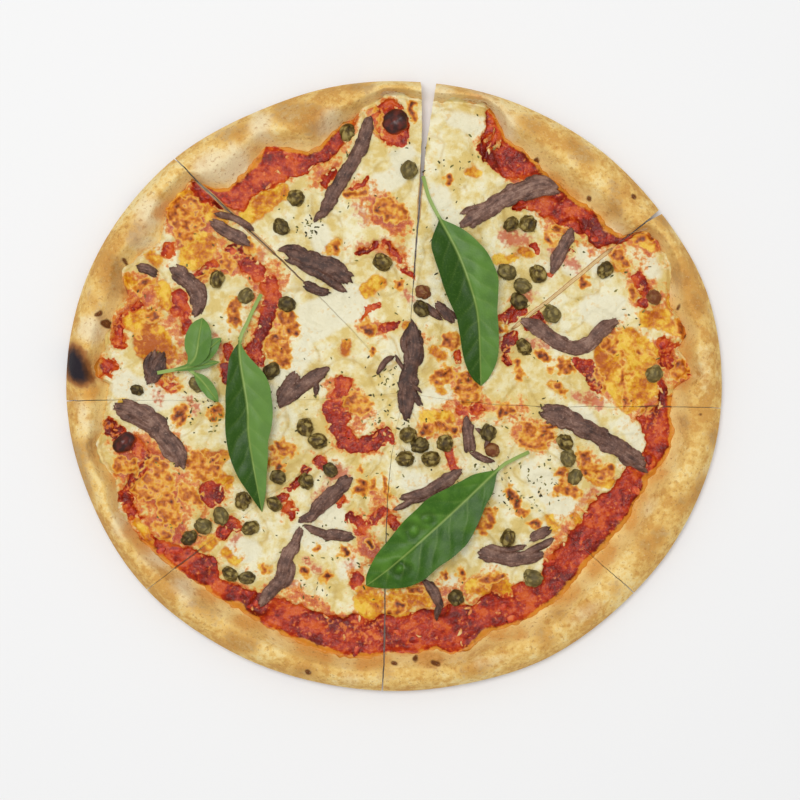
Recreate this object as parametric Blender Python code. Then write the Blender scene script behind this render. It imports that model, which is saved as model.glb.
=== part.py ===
"""An anchovy pizza, cut into eight slices.

Each slice is dough with a raised rim, then tomato, then melted cheese with capers pressed into
it. Anchovy fillets, three basil leaves and a sprig of basil lie on top.
Metres, +Z up, origin at the middle of the underside, +Y to the back. The tables of places are
in millimetres from the origin.
"""

import math

import bmesh
import bpy
from mathutils import Matrix, Vector, noise

MM = 0.001

# The whole pizza
HALF_LENGTH = 164.5 * MM
HALF_WIDTH = 153 * MM
EDGE_WAVE = 1.3 * MM
MEETING = Vector((5.5, -3)) * MM

# Heights
GAP = 0.3 * MM
FLOOR = 4.2 * MM
RIM_HEIGHT = 17 * MM
RIM_BUBBLES = 2.4 * MM
RIM_BUBBLE_SPACING = 26 * MM
RIM_CREST = 0.46
RIM_EDGE_DROP = 0.72
RIM_UNDERCUT = 3.4 * MM
TOMATO_THICKNESS = 1.3 * MM
CHEESE_THICKNESS = 2.0 * MM
CHEESE_RELIEF = 0.35 * MM
CHEESE_BUMP_SPACING = 17 * MM
TOMATO_BOTTOM = FLOOR + GAP
CHEESE_BOTTOM = TOMATO_BOTTOM + TOMATO_THICKNESS + GAP
CHEESE_TOP = CHEESE_BOTTOM + CHEESE_THICKNESS

# Cuts
KERF = 0.8 * MM
OPENING_START = 0.5
TIP_SHARE = 0.03
EDGE_MARGIN = 0.014

# Capers and burnt blisters
CAPER_RADIUS = 4.1 * MM
DOME_HEIGHT = 0.62
DOME_SUNK = 1.2 * MM

# Fillets and leaves
FILLET_THICKNESS = 3.2 * MM
FILLET_STEP = 7 * MM
FILLET_SIDES = 6
FILLET_END = 0.4
LYING_GAP = 0.45 * MM
LEAF_THICKNESS = 0.8 * MM
LEAF_STEP = 9 * MM
LEAF_COLUMNS = 4
LEAF_CLEARANCE = 1.0 * MM
STEM_WIDTH = 2.2 * MM

# Rows of each layer: 0 is the tip, 1 the layer's own reach, and 2 the edge of the dough
SLICE_COLUMNS = 12
DOUGH_ROWS = (0, 0.5, 1, 1.13, 1.3, 1.5, 1.75, 1.92, 2)
TOMATO_ROWS = (0, 0.5, 0.95, 1)
CHEESE_COLUMNS = 10
CHEESE_ROWS = (0, 0.2, 0.4, 0.58, 0.74, 0.88, 1)

# Each cut: a place near its outer end, its bow to the left, and how far it opens at the edge
CUTS = (
    ((163.5, -11), -4.0, 0),
    ((133, 87), -5.2, 1.6),
    ((17.5, 153), 0, 6.6),
    ((-107.5, 111.5), -3.0, 1.2),
    ((-164.5, -7.5), 2.6, 0),
    ((-123, -101.5), 0, 0),
    ((-6, -152), -4.5, 0.4),
    ((111, -95.5), 0, 0.3),
)

# Where the tomato ends and the rim begins
TOMATO_EDGE = (
    (147, 8), (147, 30), (143, 47), (105, 79), (82, 103), (40, 141), (9, 142), (-23, 135),
    (-47, 117), (-65, 119), (-97, 102), (-114, 68), (-137, 33), (-146, -8), (-145, -28),
    (-137, -57), (-115, -78), (-87, -107), (-41, -132), (28, -133), (53, -121), (88, -101),
    (100, -81), (129, -42), (139, -26),
)

# Where the cheese ends on the tomato
CHEESE_EDGE = (
    (139, 11), (137, 42), (121, 56), (81, 84), (54, 126), (38, 139), (20, 140), (13, 121),
    (-29, 119), (-59, 99), (-80, 90), (-95, 95), (-109, 88), (-123, 50), (-137, 30), (-144, -8),
    (-143, -28), (-135, -57), (-110, -80), (-87, -99), (-54, -104), (-34, -117), (25, -116),
    (47, -110), (72, -102), (92, -73), (113, -44), (122, -29), (129, -8),
)

# Fillets: greatest width, then the line that each follows
FILLETS = (
    (7.5, ((-12, 135), (-14.5, 125), (-20, 113), (-27, 102), (-34, 89), (-36, 84))),
    (9.0, ((79, 102), (67, 99), (54, 93), (41, 85), (33, 81))),
    (10.0, ((-54, 67), (-40, 62), (-28, 57), (-22, 52))),
    (5.5, ((-45, 51), (-38.5, 48), (-32, 47))),
    (7.0, ((89, 79), (86, 72), (82, 64), (79, 56))),
    (8.5, ((-112, 59), (-105, 54), (-99, 48), (-97.5, 41), (-100, 35))),
    (5.5, ((-129, 60), (-123.5, 58.5), (-118.5, 56))),
    (9.0, ((-123, 1), (-119.5, 9), (-115.5, 17))),
    (10.0, ((-140, -10), (-130, -12.5), (-121, -18), (-114, -27), (-108, -35), (-105, -41))),
    (6.5, ((-33, 8.5), (-44, 1.5), (-57, -9))),
    (7.5, ((8.5, 31.5), (10.5, 19), (7.5, 6), (6, -6), (6.5, -17))),
    (3.6, ((-8.5, 6), (-4, 12.5), (0.5, 15))),
    (6.0, ((21, 41.5), (26, 36.5), (30, 31.5))),
    (8.0, ((64, 33.5), (73, 28.5), (82.5, 21.5), (91, 19), (98.5, 22), (104, 28), (112, 33))),
    (6.5, ((36, -15), (37.5, -26), (38, -33))),
    (7.0, ((34, -42), (22, -50), (12.5, -55), (3, -56))),
    (9.0, ((73, -14), (83, -16), (95, -21), (108, -28.5), (118, -35), (126, -40))),
    (8.0, ((-21, -46), (-31, -54), (-38, -61), (-43, -68))),
    (7.5, ((-48.5, -76), (-54, -87), (-56.5, -97), (-63, -104), (-67, -110))),
    (6.5, ((-38, -74), (-29, -74.5), (-20, -76))),
    (7.5, ((42, -83), (54, -86), (67, -86), (75, -84))),
    (6.0, ((78, -71), (73, -74), (68, -77))),
    (4.6, ((14.5, -97), (20, -103), (22.5, -111))),
    (7.0, ((-92, 82), (-82, 76.5), (-72, 70.5))),
)

CAPERS = (
    (-23, 127), (-49, 94), (-56.5, 79.5), (7.5, 108), (58.5, 81), (67, 81), (105.5, 58),
    (130, 44.5), (130, 6), (-88.5, 53.5), (-74, 45), (-53.5, 41), (-6, 62), (-61.5, 7.5),
    (-98.5, 1), (-128.5, -2), (13.5, 38.5), (14.5, 47), (56.5, 57), (64, 50), (62.5, 42.5),
    (72, 56), (79, 36), (65, 19.5), (-44.5, -20.5), (-38, -27.5), (-44, -47.5), (-32, -42),
    (5.5, -36.5), (13, -29.5), (7, -24.5), (18.5, -36.5), (25.5, -28.5), (47, -23.5),
    (49, -32), (85.5, -28), (87, -36), (90.5, -45.5), (57, -76), (69.5, -96), (31, -106),
    (-86.5, -65), (-95.5, -70), (-102.5, -76), (-75.5, -57), (-72, -71), (-60, -59),
    (-58, -45.5), (-82, -94), (-73.5, -96),
)

# Burnt blisters: place and radius
BLISTERS = (
    ((1.5, 131.5), 6.5),
    ((-134.5, -28.5), 5.0),
)

# Basil leaves: greatest width, share that is stem, rise at the middle, and the middle line
LEAVES = (
    (27, 0.2, 6.5, ((14.5, 105), (17.5, 94), (23, 83), (31.5, 67), (38, 50), (42, 33), (43.5, 0))),
    (24, 0.2, 6.5, ((-66.5, 46), (-72.5, 33), (-77, 19), (-73, -10), (-72, -27), (-66, -63))),
    (30, 0.16, 7.0, ((67.5, -33), (59, -37), (51.5, -42), (27, -65), (0, -89), (-14, -100))),
)

# The sprig's leaflets, in the same way: the first carries the others
LEAFLETS = (
    (4.0, 0.3, 1.5, ((-118, 6.5), (-104, 9), (-87, 12))),
    (12.5, 0.2, 3.0, ((-105, 8.6), (-99, 14), (-97, 24), (-95.5, 34))),
    (7.0, 0.3, 1.5, ((-106, 8.4), (-97, 14), (-86, 24))),
    (6.0, 0.3, 1.0, ((-103, 9), (-96, 3), (-87.5, -8))),
)
SPRIG_LIFT = 4.2 * MM

COLOURS = {
    "dough": (0.72, 0.43, 0.16),
    "tomato": (0.40, 0.03, 0.012),
    "cheese": (0.83, 0.74, 0.50),
    "anchovy": (0.15, 0.09, 0.085),
    "basil": (0.09, 0.26, 0.045),
}
ROUGHNESS = {"dough": 0.75, "tomato": 0.35, "cheese": 0.4, "anchovy": 0.4, "basil": 0.45}


def place_at(point):
    return Vector(point) * MM


def soft_step(share):
    """0 up to 0, 1 from 1 on, and a soft rise between."""
    share = min(max(share, 0.0), 1.0)
    return share * share * (3 - 2 * share)


# Plan of the slices, in polar terms around the place where the cuts meet


def edge_distance(angle):
    """From the meeting of the cuts to the pizza's edge, an oval that is a little uneven."""
    step = Vector((math.cos(angle) / HALF_LENGTH, math.sin(angle) / HALF_WIDTH))
    start = Vector((MEETING.x / HALF_LENGTH, MEETING.y / HALF_WIDTH))
    ahead = start.dot(step)
    oval = (math.sqrt(ahead**2 + step.length_squared * (1 - start.length_squared)) - ahead)
    unevenness = math.sin(5 * angle + 0.7) + 0.5 * math.sin(9 * angle)
    return oval / step.length_squared + EDGE_WAVE * math.sin(2 * angle) ** 2 * unevenness


def polar(place):
    """A place as its angle around the meeting, and its share of the way to the edge."""
    offset = place - MEETING
    angle = math.atan2(offset.y, offset.x) % math.tau
    return angle, offset.length / edge_distance(angle)


def outline_table(points):
    """An outline's points as sorted (angle, share) rows, repeated past a full turn."""
    rows = sorted(polar(place_at(point)) for point in points)
    before = (rows[-1][0] - math.tau, rows[-1][1])
    after = (rows[0][0] + math.tau, rows[0][1])
    return (before, *rows, after)


TOMATO_TABLE = outline_table(TOMATO_EDGE)
CHEESE_TABLE = outline_table(CHEESE_EDGE)


def read_table(table, angle):
    angle %= math.tau
    for (low, start), (high, end) in zip(table, table[1:]):
        if low <= angle <= high:
            return start + (end - start) * (angle - low) / (high - low)
    raise ValueError(angle)


def dough_reach(angle):
    return read_table(TOMATO_TABLE, angle)


def tomato_reach(angle):
    return dough_reach(angle) - EDGE_MARGIN


def cheese_reach(angle):
    return min(read_table(CHEESE_TABLE, angle), tomato_reach(angle) - EDGE_MARGIN)


def cut_angle(index, share, side):
    """The angle of a cut's left wall (side 1), right wall (side -1) or middle (side 0)."""
    point, bow, opening = CUTS[index % len(CUTS)]
    straight, _ = polar(place_at(point))
    distance = edge_distance(straight)
    width = KERF + opening * MM * soft_step((share - OPENING_START) / (1 - OPENING_START)) ** 3
    bend = 6.75 * bow * MM * (1 - share) ** 2
    return straight + (bend + side * width / 2 / share) / distance


def angle_across(index, across, share):
    """The angle in a slice, from the cut at its right (across 0) to the one at its left (1)."""
    right = cut_angle(index, share, 1)
    left = cut_angle(index + 1, share, -1)
    return right + across * ((left - right) % math.tau)


def slice_place(index, across, row, reach):
    """The place in a slice at a row of a layer that reaches as far as reach(angle)."""
    share = 0.5 * row
    for _ in range(3):
        angle = angle_across(index, across, max(share, TIP_SHARE))
        limit = reach(angle)
        if row <= 1:
            share = TIP_SHARE + (limit - TIP_SHARE) * row
        else:
            share = limit + (1 - limit) * (row - 1)
    distance = share * edge_distance(angle)
    return MEETING + Vector((math.cos(angle), math.sin(angle))) * distance


def slice_of(place):
    """The slice that a place is on, or the nearer one in a cut."""
    angle, share = polar(place)
    turns = [(angle - cut_angle(index, share, 0)) % math.tau for index in range(len(CUTS))]
    return turns.index(min(turns))


# Heights


def rim_share(place):
    """0 where the tomato ends, 1 at the edge, and negative inside."""
    angle, share = polar(place)
    reach = dough_reach(angle)
    return (share - reach) / (1 - reach)


def dough_top(place):
    share = min(rim_share(place), 1)
    if share <= 0:
        return FLOOR
    bubbles = RIM_BUBBLES * noise.noise(place.to_3d() / RIM_BUBBLE_SPACING)
    if share < RIM_CREST:
        rise = soft_step(share / RIM_CREST)
    else:
        rise = 1 - RIM_EDGE_DROP * ((share - RIM_CREST) / (1 - RIM_CREST)) ** 2.2
    return FLOOR + (RIM_HEIGHT - FLOOR + bubbles) * rise


def dough_underside(place):
    return RIM_UNDERCUT * max(0.0, 2 * rim_share(place) - 1) ** 2.5


def cheese_top(place):
    return CHEESE_TOP + CHEESE_RELIEF * noise.noise(place.to_3d() / CHEESE_BUMP_SPACING)


def lying_height(place):
    """The height that fillets lie at."""
    return max(cheese_top(place), dough_top(place)) + LYING_GAP


# Objects


def make_material(kind):
    material = bpy.data.materials.new(kind)
    material.use_nodes = True
    shader = material.node_tree.nodes["Principled BSDF"]
    shader.inputs["Base Color"].default_value = (*COLOURS[kind], 1)
    shader.inputs["Roughness"].default_value = ROUGHNESS[kind]
    shader.inputs["Metallic"].default_value = 0
    return material


def add_object(name, bm, material, sharp_angle=50):
    """The finished mesh as a named object with smooth shading."""
    bmesh.ops.recalc_face_normals(bm, faces=bm.faces)
    mesh = bpy.data.meshes.new(name)
    bm.to_mesh(mesh)
    bm.free()
    mesh.materials.append(material)
    mesh.shade_smooth()
    mesh.set_sharp_from_angle(angle=math.radians(sharp_angle))
    thing = bpy.data.objects.new(name, mesh)
    bpy.context.scene.collection.objects.link(thing)
    return thing


def thicken(bm, heights):
    """Closes a sheet into a solid: the sheet is one face, and heights(place) gives the other."""
    bmesh.ops.triangulate(bm, faces=bm.faces)
    raised = bmesh.ops.extrude_face_region(bm, geom=bm.faces[:])["geom"]
    for vert in raised:
        if isinstance(vert, bmesh.types.BMVert):
            vert.co.z = heights(vert.co)


def add_layer(name, index, columns, rows, reach, underside, top, material):
    """One layer of a slice, between the heights underside(place) and top(place)."""
    bm = bmesh.new()
    bmesh.ops.create_grid(bm, x_segments=columns, y_segments=len(rows) - 1, size=0.5)
    for vert in bm.verts:
        row = rows[round((vert.co.y + 0.5) * (len(rows) - 1))]
        place = slice_place(index, vert.co.x + 0.5, row, reach)
        vert.co = (*place, underside(place))
    thicken(bm, lambda corner: top(corner.xy))
    return add_object(name, bm, material)


def make_dome(place, height, radius, material):
    """A caper or a blister, set into a layer whose top is at the given height."""
    bm = bmesh.new()
    rise = radius * DOME_HEIGHT
    middle = Matrix.Translation((*place, height + rise - DOME_SUNK))
    shape = Matrix.Diagonal((radius, radius, rise, 1))
    bmesh.ops.create_uvsphere(bm, u_segments=7, v_segments=5, radius=1, matrix=middle @ shape)
    return add_object("dome", bm, material)


def fuse(target, pieces):
    """Joins pieces to the target as one solid."""
    if not pieces:
        return
    group = bpy.data.collections.new(target.name)
    for piece in pieces:
        group.objects.link(piece)
    union = target.modifiers.new("fuse", "BOOLEAN")
    union.operation = "UNION"
    union.operand_type = "COLLECTION"
    union.collection = group
    union.solver = "EXACT"
    evaluated = target.evaluated_get(bpy.context.evaluated_depsgraph_get())
    target.data = bpy.data.meshes.new_from_object(evaluated)
    target.modifiers.clear()
    for piece in pieces:
        bpy.data.objects.remove(piece)
    bpy.data.collections.remove(group)


def smooth_line(points, step):
    """Places at about equal steps along a smooth curve through the points."""
    corners = [place_at(point) for point in points]
    corners = [2 * corners[0] - corners[1], *corners, 2 * corners[-1] - corners[-2]]
    line = []
    for before, start, end, after in zip(corners, corners[1:], corners[2:], corners[3:]):
        pieces = max(1, round((end - start).length / step))
        for piece in range(pieces):
            t = piece / pieces
            bend = (2 * before - 5 * start + 4 * end - after) * t**2
            twist = (3 * start - before - 3 * end + after) * t**3
            line.append(start + 0.5 * ((end - before) * t + bend + twist))
    return [*line, corners[-2]]


def direction_at(line, number):
    """The line's direction at one of its places."""
    return (line[min(number + 1, len(line) - 1)] - line[max(number - 1, 0)]).normalized()


def add_fillet(name, width, points, material):
    """A flat strip of fish, narrower at its ends."""
    bm = bmesh.new()
    line = smooth_line(points, FILLET_STEP)
    last = len(line) - 1
    for number, place in enumerate(line):
        heading = direction_at(line, number)
        along = number / last
        fullness = FILLET_END + (1 - FILLET_END) * math.sin(math.pi * along) ** 0.5
        across = Vector((-heading.y, heading.x)) * width * MM / 2 * fullness
        half = FILLET_THICKNESS / 2 * fullness
        ground = max(lying_height(place + across * side) for side in (-1, 0, 1))
        turn = Matrix(((across.x, 0, heading.x), (across.y, 0, heading.y), (0, half, 0)))
        spot = Matrix.Translation((*place, ground + half)) @ turn.to_4x4()
        bmesh.ops.create_circle(bm, segments=FILLET_SIDES, radius=1, matrix=spot)
    rings = [edge for edge in bm.edges]
    for number in range(last):
        pair = rings[number * FILLET_SIDES : (number + 2) * FILLET_SIDES]
        bmesh.ops.bridge_loops(bm, edges=pair)
    bmesh.ops.holes_fill(bm, edges=bm.edges, sides=FILLET_SIDES)
    return add_object(name, bm, material)


def leaf_half_width(along, width, stem_share):
    """A stem, then a blade that is widest before its middle and ends in a point."""
    if along < stem_share:
        return STEM_WIDTH / 2
    blade = (along - stem_share) / (1 - stem_share)
    return max(width * MM / 2 * math.sin(math.pi * blade**0.8) ** 0.8, STEM_WIDTH / 4)


def add_leaf(name, shape, lift, material):
    """A leaf, arched along its line and cupped across it."""
    width, stem_share, rise, points = shape
    line = smooth_line(points, LEAF_STEP)
    last = len(line) - 1
    ground = CHEESE_TOP + CHEESE_RELIEF + LEAF_CLEARANCE + lift
    bm = bmesh.new()
    bmesh.ops.create_grid(bm, x_segments=LEAF_COLUMNS, y_segments=last, size=0.5)
    for vert in bm.verts:
        along = vert.co.y + 0.5
        across = 2 * vert.co.x
        number = round(along * last)
        heading = direction_at(line, number)
        half = leaf_half_width(along, width, stem_share)
        place = line[number] + Vector((-heading.y, heading.x)) * half * across
        arch = rise * MM * math.sin(math.pi * along) ** 0.7
        cup = 0.16 * half * across**2 + 0.05 * half * math.sin(9 * along + 2 * across)
        vert.co = (*place, ground + arch + cup)
    thicken(bm, lambda corner: corner.z + LEAF_THICKNESS)
    return add_object(name, bm, material)


# The pizza


def add_slice(index, materials):
    number = index + 1
    add_layer(
        f"dough_{number}", index, SLICE_COLUMNS, DOUGH_ROWS, dough_reach,
        dough_underside, dough_top, materials["dough"],
    )
    tomato = add_layer(
        f"tomato_{number}", index, SLICE_COLUMNS, TOMATO_ROWS, tomato_reach,
        lambda place: TOMATO_BOTTOM, lambda place: TOMATO_BOTTOM + TOMATO_THICKNESS,
        materials["tomato"],
    )
    cheese = add_layer(
        f"cheese_{number}", index, CHEESE_COLUMNS, CHEESE_ROWS, cheese_reach,
        lambda place: CHEESE_BOTTOM, cheese_top, materials["cheese"],
    )
    domes = [(place_at(point), CAPER_RADIUS) for point in CAPERS]
    domes += [(place_at(point), radius * MM) for point, radius in BLISTERS]
    on_cheese = []
    on_tomato = []
    for place, radius in domes:
        if slice_of(place) != index:
            continue
        angle, share = polar(place)
        if share < cheese_reach(angle):
            on_cheese.append(make_dome(place, cheese_top(place), radius, materials["cheese"]))
        else:
            height = TOMATO_BOTTOM + TOMATO_THICKNESS
            on_tomato.append(make_dome(place, height, radius, materials["tomato"]))
    fuse(cheese, on_cheese)
    fuse(tomato, on_tomato)


def add_sprig(material):
    leaflets = [
        add_leaf(f"leaflet_{number}", shape, SPRIG_LIFT, material)
        for number, shape in enumerate(LEAFLETS)
    ]
    leaflets[0].name = "basil_sprig"
    fuse(leaflets[0], leaflets[1:])


def main():
    for thing in list(bpy.data.objects):
        bpy.data.objects.remove(thing)
    materials = {kind: make_material(kind) for kind in COLOURS}
    for index in range(len(CUTS)):
        add_slice(index, materials)
    for number, (width, points) in enumerate(FILLETS, 1):
        add_fillet(f"anchovy_{number}", width, points, materials["anchovy"])
    for number, shape in enumerate(LEAVES, 1):
        add_leaf(f"basil_leaf_{number}", shape, 0, materials["basil"])
    add_sprig(materials["basil"])


main()
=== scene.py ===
import math
import random

import bmesh
import bpy
import numpy as np
from mathutils import Matrix, Vector, noise


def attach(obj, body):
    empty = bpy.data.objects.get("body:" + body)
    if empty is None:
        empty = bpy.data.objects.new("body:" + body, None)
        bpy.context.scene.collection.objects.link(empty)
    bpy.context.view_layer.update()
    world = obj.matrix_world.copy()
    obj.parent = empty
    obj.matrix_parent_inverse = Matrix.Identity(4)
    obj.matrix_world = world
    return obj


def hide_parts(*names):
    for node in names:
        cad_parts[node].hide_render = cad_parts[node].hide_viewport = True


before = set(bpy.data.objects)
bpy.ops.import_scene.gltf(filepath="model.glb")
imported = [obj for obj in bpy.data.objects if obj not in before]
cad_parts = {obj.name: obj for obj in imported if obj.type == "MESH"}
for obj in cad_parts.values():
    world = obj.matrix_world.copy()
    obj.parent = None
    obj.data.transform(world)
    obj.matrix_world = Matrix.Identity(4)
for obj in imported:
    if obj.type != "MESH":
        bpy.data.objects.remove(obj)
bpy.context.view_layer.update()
print("frame loaded")

mm = 0.001
tau = math.tau
fine = 1.0  # share of the full mesh density

# Places are in millimetres from the middle of the pizza. Paint is placed in view units: half
# millimetres to the right of and below the view's upper left corner.
view = {"unit": 0.5, "middleX": 394, "middleY": 386}


def fromView(x, y):
    unit = view["unit"]
    return (np.asarray(x) - view["middleX"]) * unit, (view["middleY"] - np.asarray(y)) * unit


def toView(x, y):
    return view["middleX"] + x / view["unit"], view["middleY"] - y / view["unit"]


def softStep(share):
    share = np.clip(share, 0, 1)
    return share * share * (3 - 2 * share)


def bumps(x, y, spacing, seed=0.0):
    # smooth noise between about -1 and 1, with features of this spacing in millimetres
    step = 1 / spacing
    pairs = zip((np.ravel(x) * step).tolist(), (np.ravel(y) * step).tolist())
    values = np.fromiter((noise.noise((u, v, seed)) for u, v in pairs), float)
    return values.reshape(np.shape(x))


def relief(x, y, *layers):
    # noise added up, each layer its height, spacing and seed
    return sum(height * bumps(x, y, spacing, seed) for height, spacing, seed in layers)


def patches(x, y, level, low, high, *layers):
    # noise about a level, cut off at a low and a high value
    return np.clip(level + relief(x, y, *layers), low, high)


# The plan of the pizza and its slices

pizza = {
    "slices": 8, "halfLength": 164.5, "halfWidth": 153.0, "meeting": (5.5, -3.0), "tip": 0.004,
    # the unevenness of the edge, and its waves: share, how many go round, and start
    "edgeWave": 1.3, "waves": ((1.0, 5, 0.7), (0.5, 9, 0.0)),
    # where the topping ends and the rim begins
    "toppingEdge": (
        (689, 376), (676, 350), (684, 334), (668, 306), (667, 290), (668, 271), (664, 257),
        (654, 242), (641, 233), (620, 238), (605, 226), (595, 213), (568, 197), (549, 180),
        (542, 172), (521, 151), (504, 141), (497, 120), (485, 107), (468, 104), (441, 104),
        (424, 103), (403, 98), (385, 97), (377, 103), (366, 110), (354, 120), (341, 128),
        (330, 137), (320, 149), (308, 154), (289, 151), (267, 147), (258, 161), (246, 175),
        (229, 190), (215, 190), (195, 182), (180, 196), (170, 208), (165, 225), (163, 244),
        (146, 252), (138, 257), (126, 273), (129, 297), (117, 316), (110, 336), (108, 350),
        (99, 367), (101, 377), (112, 384), (109, 402), (106, 429), (99, 444), (103, 456),
        (110, 470), (121, 480), (120, 492), (122, 506), (132, 520), (143, 537), (156, 551),
        (170, 563), (184, 571), (206, 587), (225, 599), (242, 609), (263, 621), (300, 640),
        (318, 648), (339, 653), (361, 656), (380, 654), (388, 649), (419, 650), (437, 647),
        (450, 653), (468, 646), (490, 629), (516, 622), (535, 612), (552, 601), (571, 582),
        (587, 560), (611, 536), (621, 524), (629, 515), (634, 499), (641, 490), (645, 478),
        (652, 471), (662, 460), (669, 446), (671, 432), (668, 416), (669, 406), (668, 391),
    ),
    # where the cheese ends on the tomato
    "cheeseEdge": (
        (682, 375), (670, 347), (681, 333), (666, 306), (665, 290), (665, 271), (661, 257),
        (651, 244), (640, 235), (620, 242), (603, 244), (590, 240), (575, 224), (552, 215),
        (514, 206), (523, 181), (501, 172), (482, 161), (482, 145), (499, 138), (494, 122),
        (485, 110), (468, 107), (441, 107), (424, 105), (405, 101), (385, 101), (370, 110),
        (357, 124), (347, 138), (332, 160), (318, 167), (301, 173), (284, 182), (267, 189),
        (249, 201), (240, 211), (225, 213), (214, 199), (204, 190), (196, 187), (182, 198),
        (173, 209), (168, 225), (166, 245), (148, 255), (140, 260), (129, 275), (132, 297),
        (121, 318), (114, 337), (112, 350), (110, 367), (109, 377), (114, 386), (111, 402),
        (109, 429), (103, 444), (107, 456), (114, 470), (125, 480), (124, 492), (126, 506),
        (136, 518), (148, 530), (163, 540), (180, 547), (203, 554), (215, 558), (223, 578),
        (241, 587), (263, 594), (284, 599), (301, 609), (332, 616), (352, 616), (384, 616),
        (402, 615), (423, 609), (440, 609), (457, 604), (475, 606), (482, 592), (492, 585),
        (518, 585), (538, 575), (544, 558), (568, 540), (570, 530), (584, 515), (591, 504),
        (599, 497), (611, 490), (616, 483), (624, 469), (640, 452), (648, 442), (642, 429),
        (637, 417), (656, 410), (658, 398),
    ),
}

# Cuts: a place near the outer end, the bow to the left, and how wide it stands open at shares of
# the way out
cuts = {
    # they waver by noise, each its height, spacing and seed, along a length that starts apart
    "length": 160, "apart": 50, "steadyTip": 0.12, "waver": ((0.5, 11, 2.1), (0.18, 3, 5.1)),
    "shares": (0.0, 0.12, 0.3, 0.5, 0.66, 0.75, 0.82, 0.88, 0.94, 1.0),
    "places": (
        ((163.5, -11), -4.0, (0.1, 0.1, 0.2, 0.2, 0.2, 0.2, 0.2, 0.3, 0.3, 0.3)),
        ((133, 87), -5.2, (0.1, 0.1, 0.1, 0.1, 0.1, 0.1, 0.15, 0.4, 0.9, 2.4)),
        ((17.5, 153), 0, (0.1, 0.1, 0.3, 0.7, 1.1, 2.0, 2.8, 4.3, 5.8, 8.0)),
        ((-107.5, 111.5), -3.0, (0.1, 0.1, 0.2, 0.3, 0.4, 0.5, 0.6, 0.7, 0.6, 0.6)),
        ((-164.5, -7.5), 2.6, (0.1, 0.1, 0.1, 0.1, 0.1, 0.1, 0.15, 0.3, 0.4, 0.5)),
        ((-123, -101.5), 0, (0.1, 0.1, 0.1, 0.1, 0.1, 0.1, 0.15, 0.2, 0.25, 0.3)),
        ((-6, -152), -4.5, (0.1, 0.1, 0.3, 0.5, 0.6, 0.6, 0.6, 0.6, 0.6, 0.7)),
        ((111, -95.5), 0, (0.1, 0.1, 0.1, 0.1, 0.1, 0.15, 0.2, 0.3, 0.4, 0.5)),
    ),
}


def edgeDistance(angle):
    # from the meeting of the cuts to the edge of the pizza
    stepX, stepY = np.cos(angle) / pizza["halfLength"], np.sin(angle) / pizza["halfWidth"]
    startX = pizza["meeting"][0] / pizza["halfLength"]
    startY = pizza["meeting"][1] / pizza["halfWidth"]
    square = stepX**2 + stepY**2
    ahead = startX * stepX + startY * stepY
    oval = np.sqrt(ahead**2 + square * (1 - startX**2 - startY**2)) - ahead
    # no waves at the four ends, so that the length and width are true
    waves = sum(share * np.sin(count * angle + start) for share, count, start in pizza["waves"])
    return oval / square + pizza["edgeWave"] * np.sin(2 * angle) ** 2 * waves


def polar(x, y):
    # the angle around the meeting of the cuts, and the share of the way to the edge
    offsetX, offsetY = x - pizza["meeting"][0], y - pizza["meeting"][1]
    angle = np.arctan2(offsetY, offsetX) % tau
    return angle, np.hypot(offsetX, offsetY) / edgeDistance(angle)


def outline(points):
    angle, share = polar(*fromView(*np.array(points, float).T))
    order = np.argsort(angle)
    return angle[order], share[order]


toppingOutline = outline(pizza["toppingEdge"])
cheeseOutline = outline(pizza["cheeseEdge"])


def toppingReach(angle):
    return np.interp(angle % tau, *toppingOutline, period=tau)


def cheeseReach(angle):
    return np.interp(angle % tau, *cheeseOutline, period=tau)


def depthInside(reach, x, y):
    # how far inside a reach each place lies, in millimetres
    angle, share = polar(x, y)
    return (reach(angle) - share) * edgeDistance(angle)


def bareWidth(x, y):
    # how wide the bare tomato between the cheese and the rim is at this angle
    angle, _ = polar(x, y)
    return (toppingReach(angle) - cheeseReach(angle)) * edgeDistance(angle)


def cutAngle(index, share, side):
    # where a cut lies at shares of the way out: side 0 is its middle, 1 and -1 its two edges
    number = index % pizza["slices"]
    end, bow, widths = cuts["places"][number]
    straight, _ = polar(*end)
    width = np.interp(share, cuts["shares"], widths)
    # with 27 / 4 the bow is whole where it is greatest, a third of the way out
    bend = 27 / 4 * bow * (1 - share) ** 2
    way = cuts["length"] * np.asarray(share) + cuts["apart"] * number
    waver = relief(way, 0 * way, *cuts["waver"])
    bend = bend + waver * softStep(share / cuts["steadyTip"]) / share
    return straight + (bend + side * width / 2 / share) / edgeDistance(straight)


def slicePlaces(index, across, row, reach):
    # rows 0 to 1 run from the tip to the reach, and 1 to 2 on to the edge of the pizza
    share = 0.5 * row
    # the edges of the cuts depend on the share, which settles in a few rounds
    for _ in range(4):
        safe = np.maximum(share, pizza["tip"])
        right, left = cutAngle(index, safe, 1), cutAngle(index + 1, safe, -1)
        angle = right + across * ((left - right) % tau)
        limit = reach(angle)
        inner = pizza["tip"] + (limit - pizza["tip"]) * row
        share = np.where(row <= 1, inner, limit + (1 - limit) * (row - 1))
    distance = share * edgeDistance(angle)
    x = pizza["meeting"][0] + np.cos(angle) * distance
    return x, pizza["meeting"][1] + np.sin(angle) * distance


# Heights

heights = {
    "floor": 4.2, "rim": 17.0, "rimBubbles": (2.4, 26.0, 0.0), "crest": 0.46, "edgeDrop": 0.72,
    "edgeCurve": 2.2, "undercut": 3.4, "edgeRound": 4.5, "edgeThickness": 0.5,
    "toppingBottom": 4.5, "sauce": 6.2, "sauceInCheese": 7.5, "cheese": 7.4, "underFillets": 8.5,
}


def rimShare(x, y):
    # how far across the rim, from the topping outwards, and the distance from the edge
    angle, share = polar(x, y)
    reach = toppingReach(angle)
    return (share - reach) / (1 - reach), (1 - share) * edgeDistance(angle)


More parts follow.
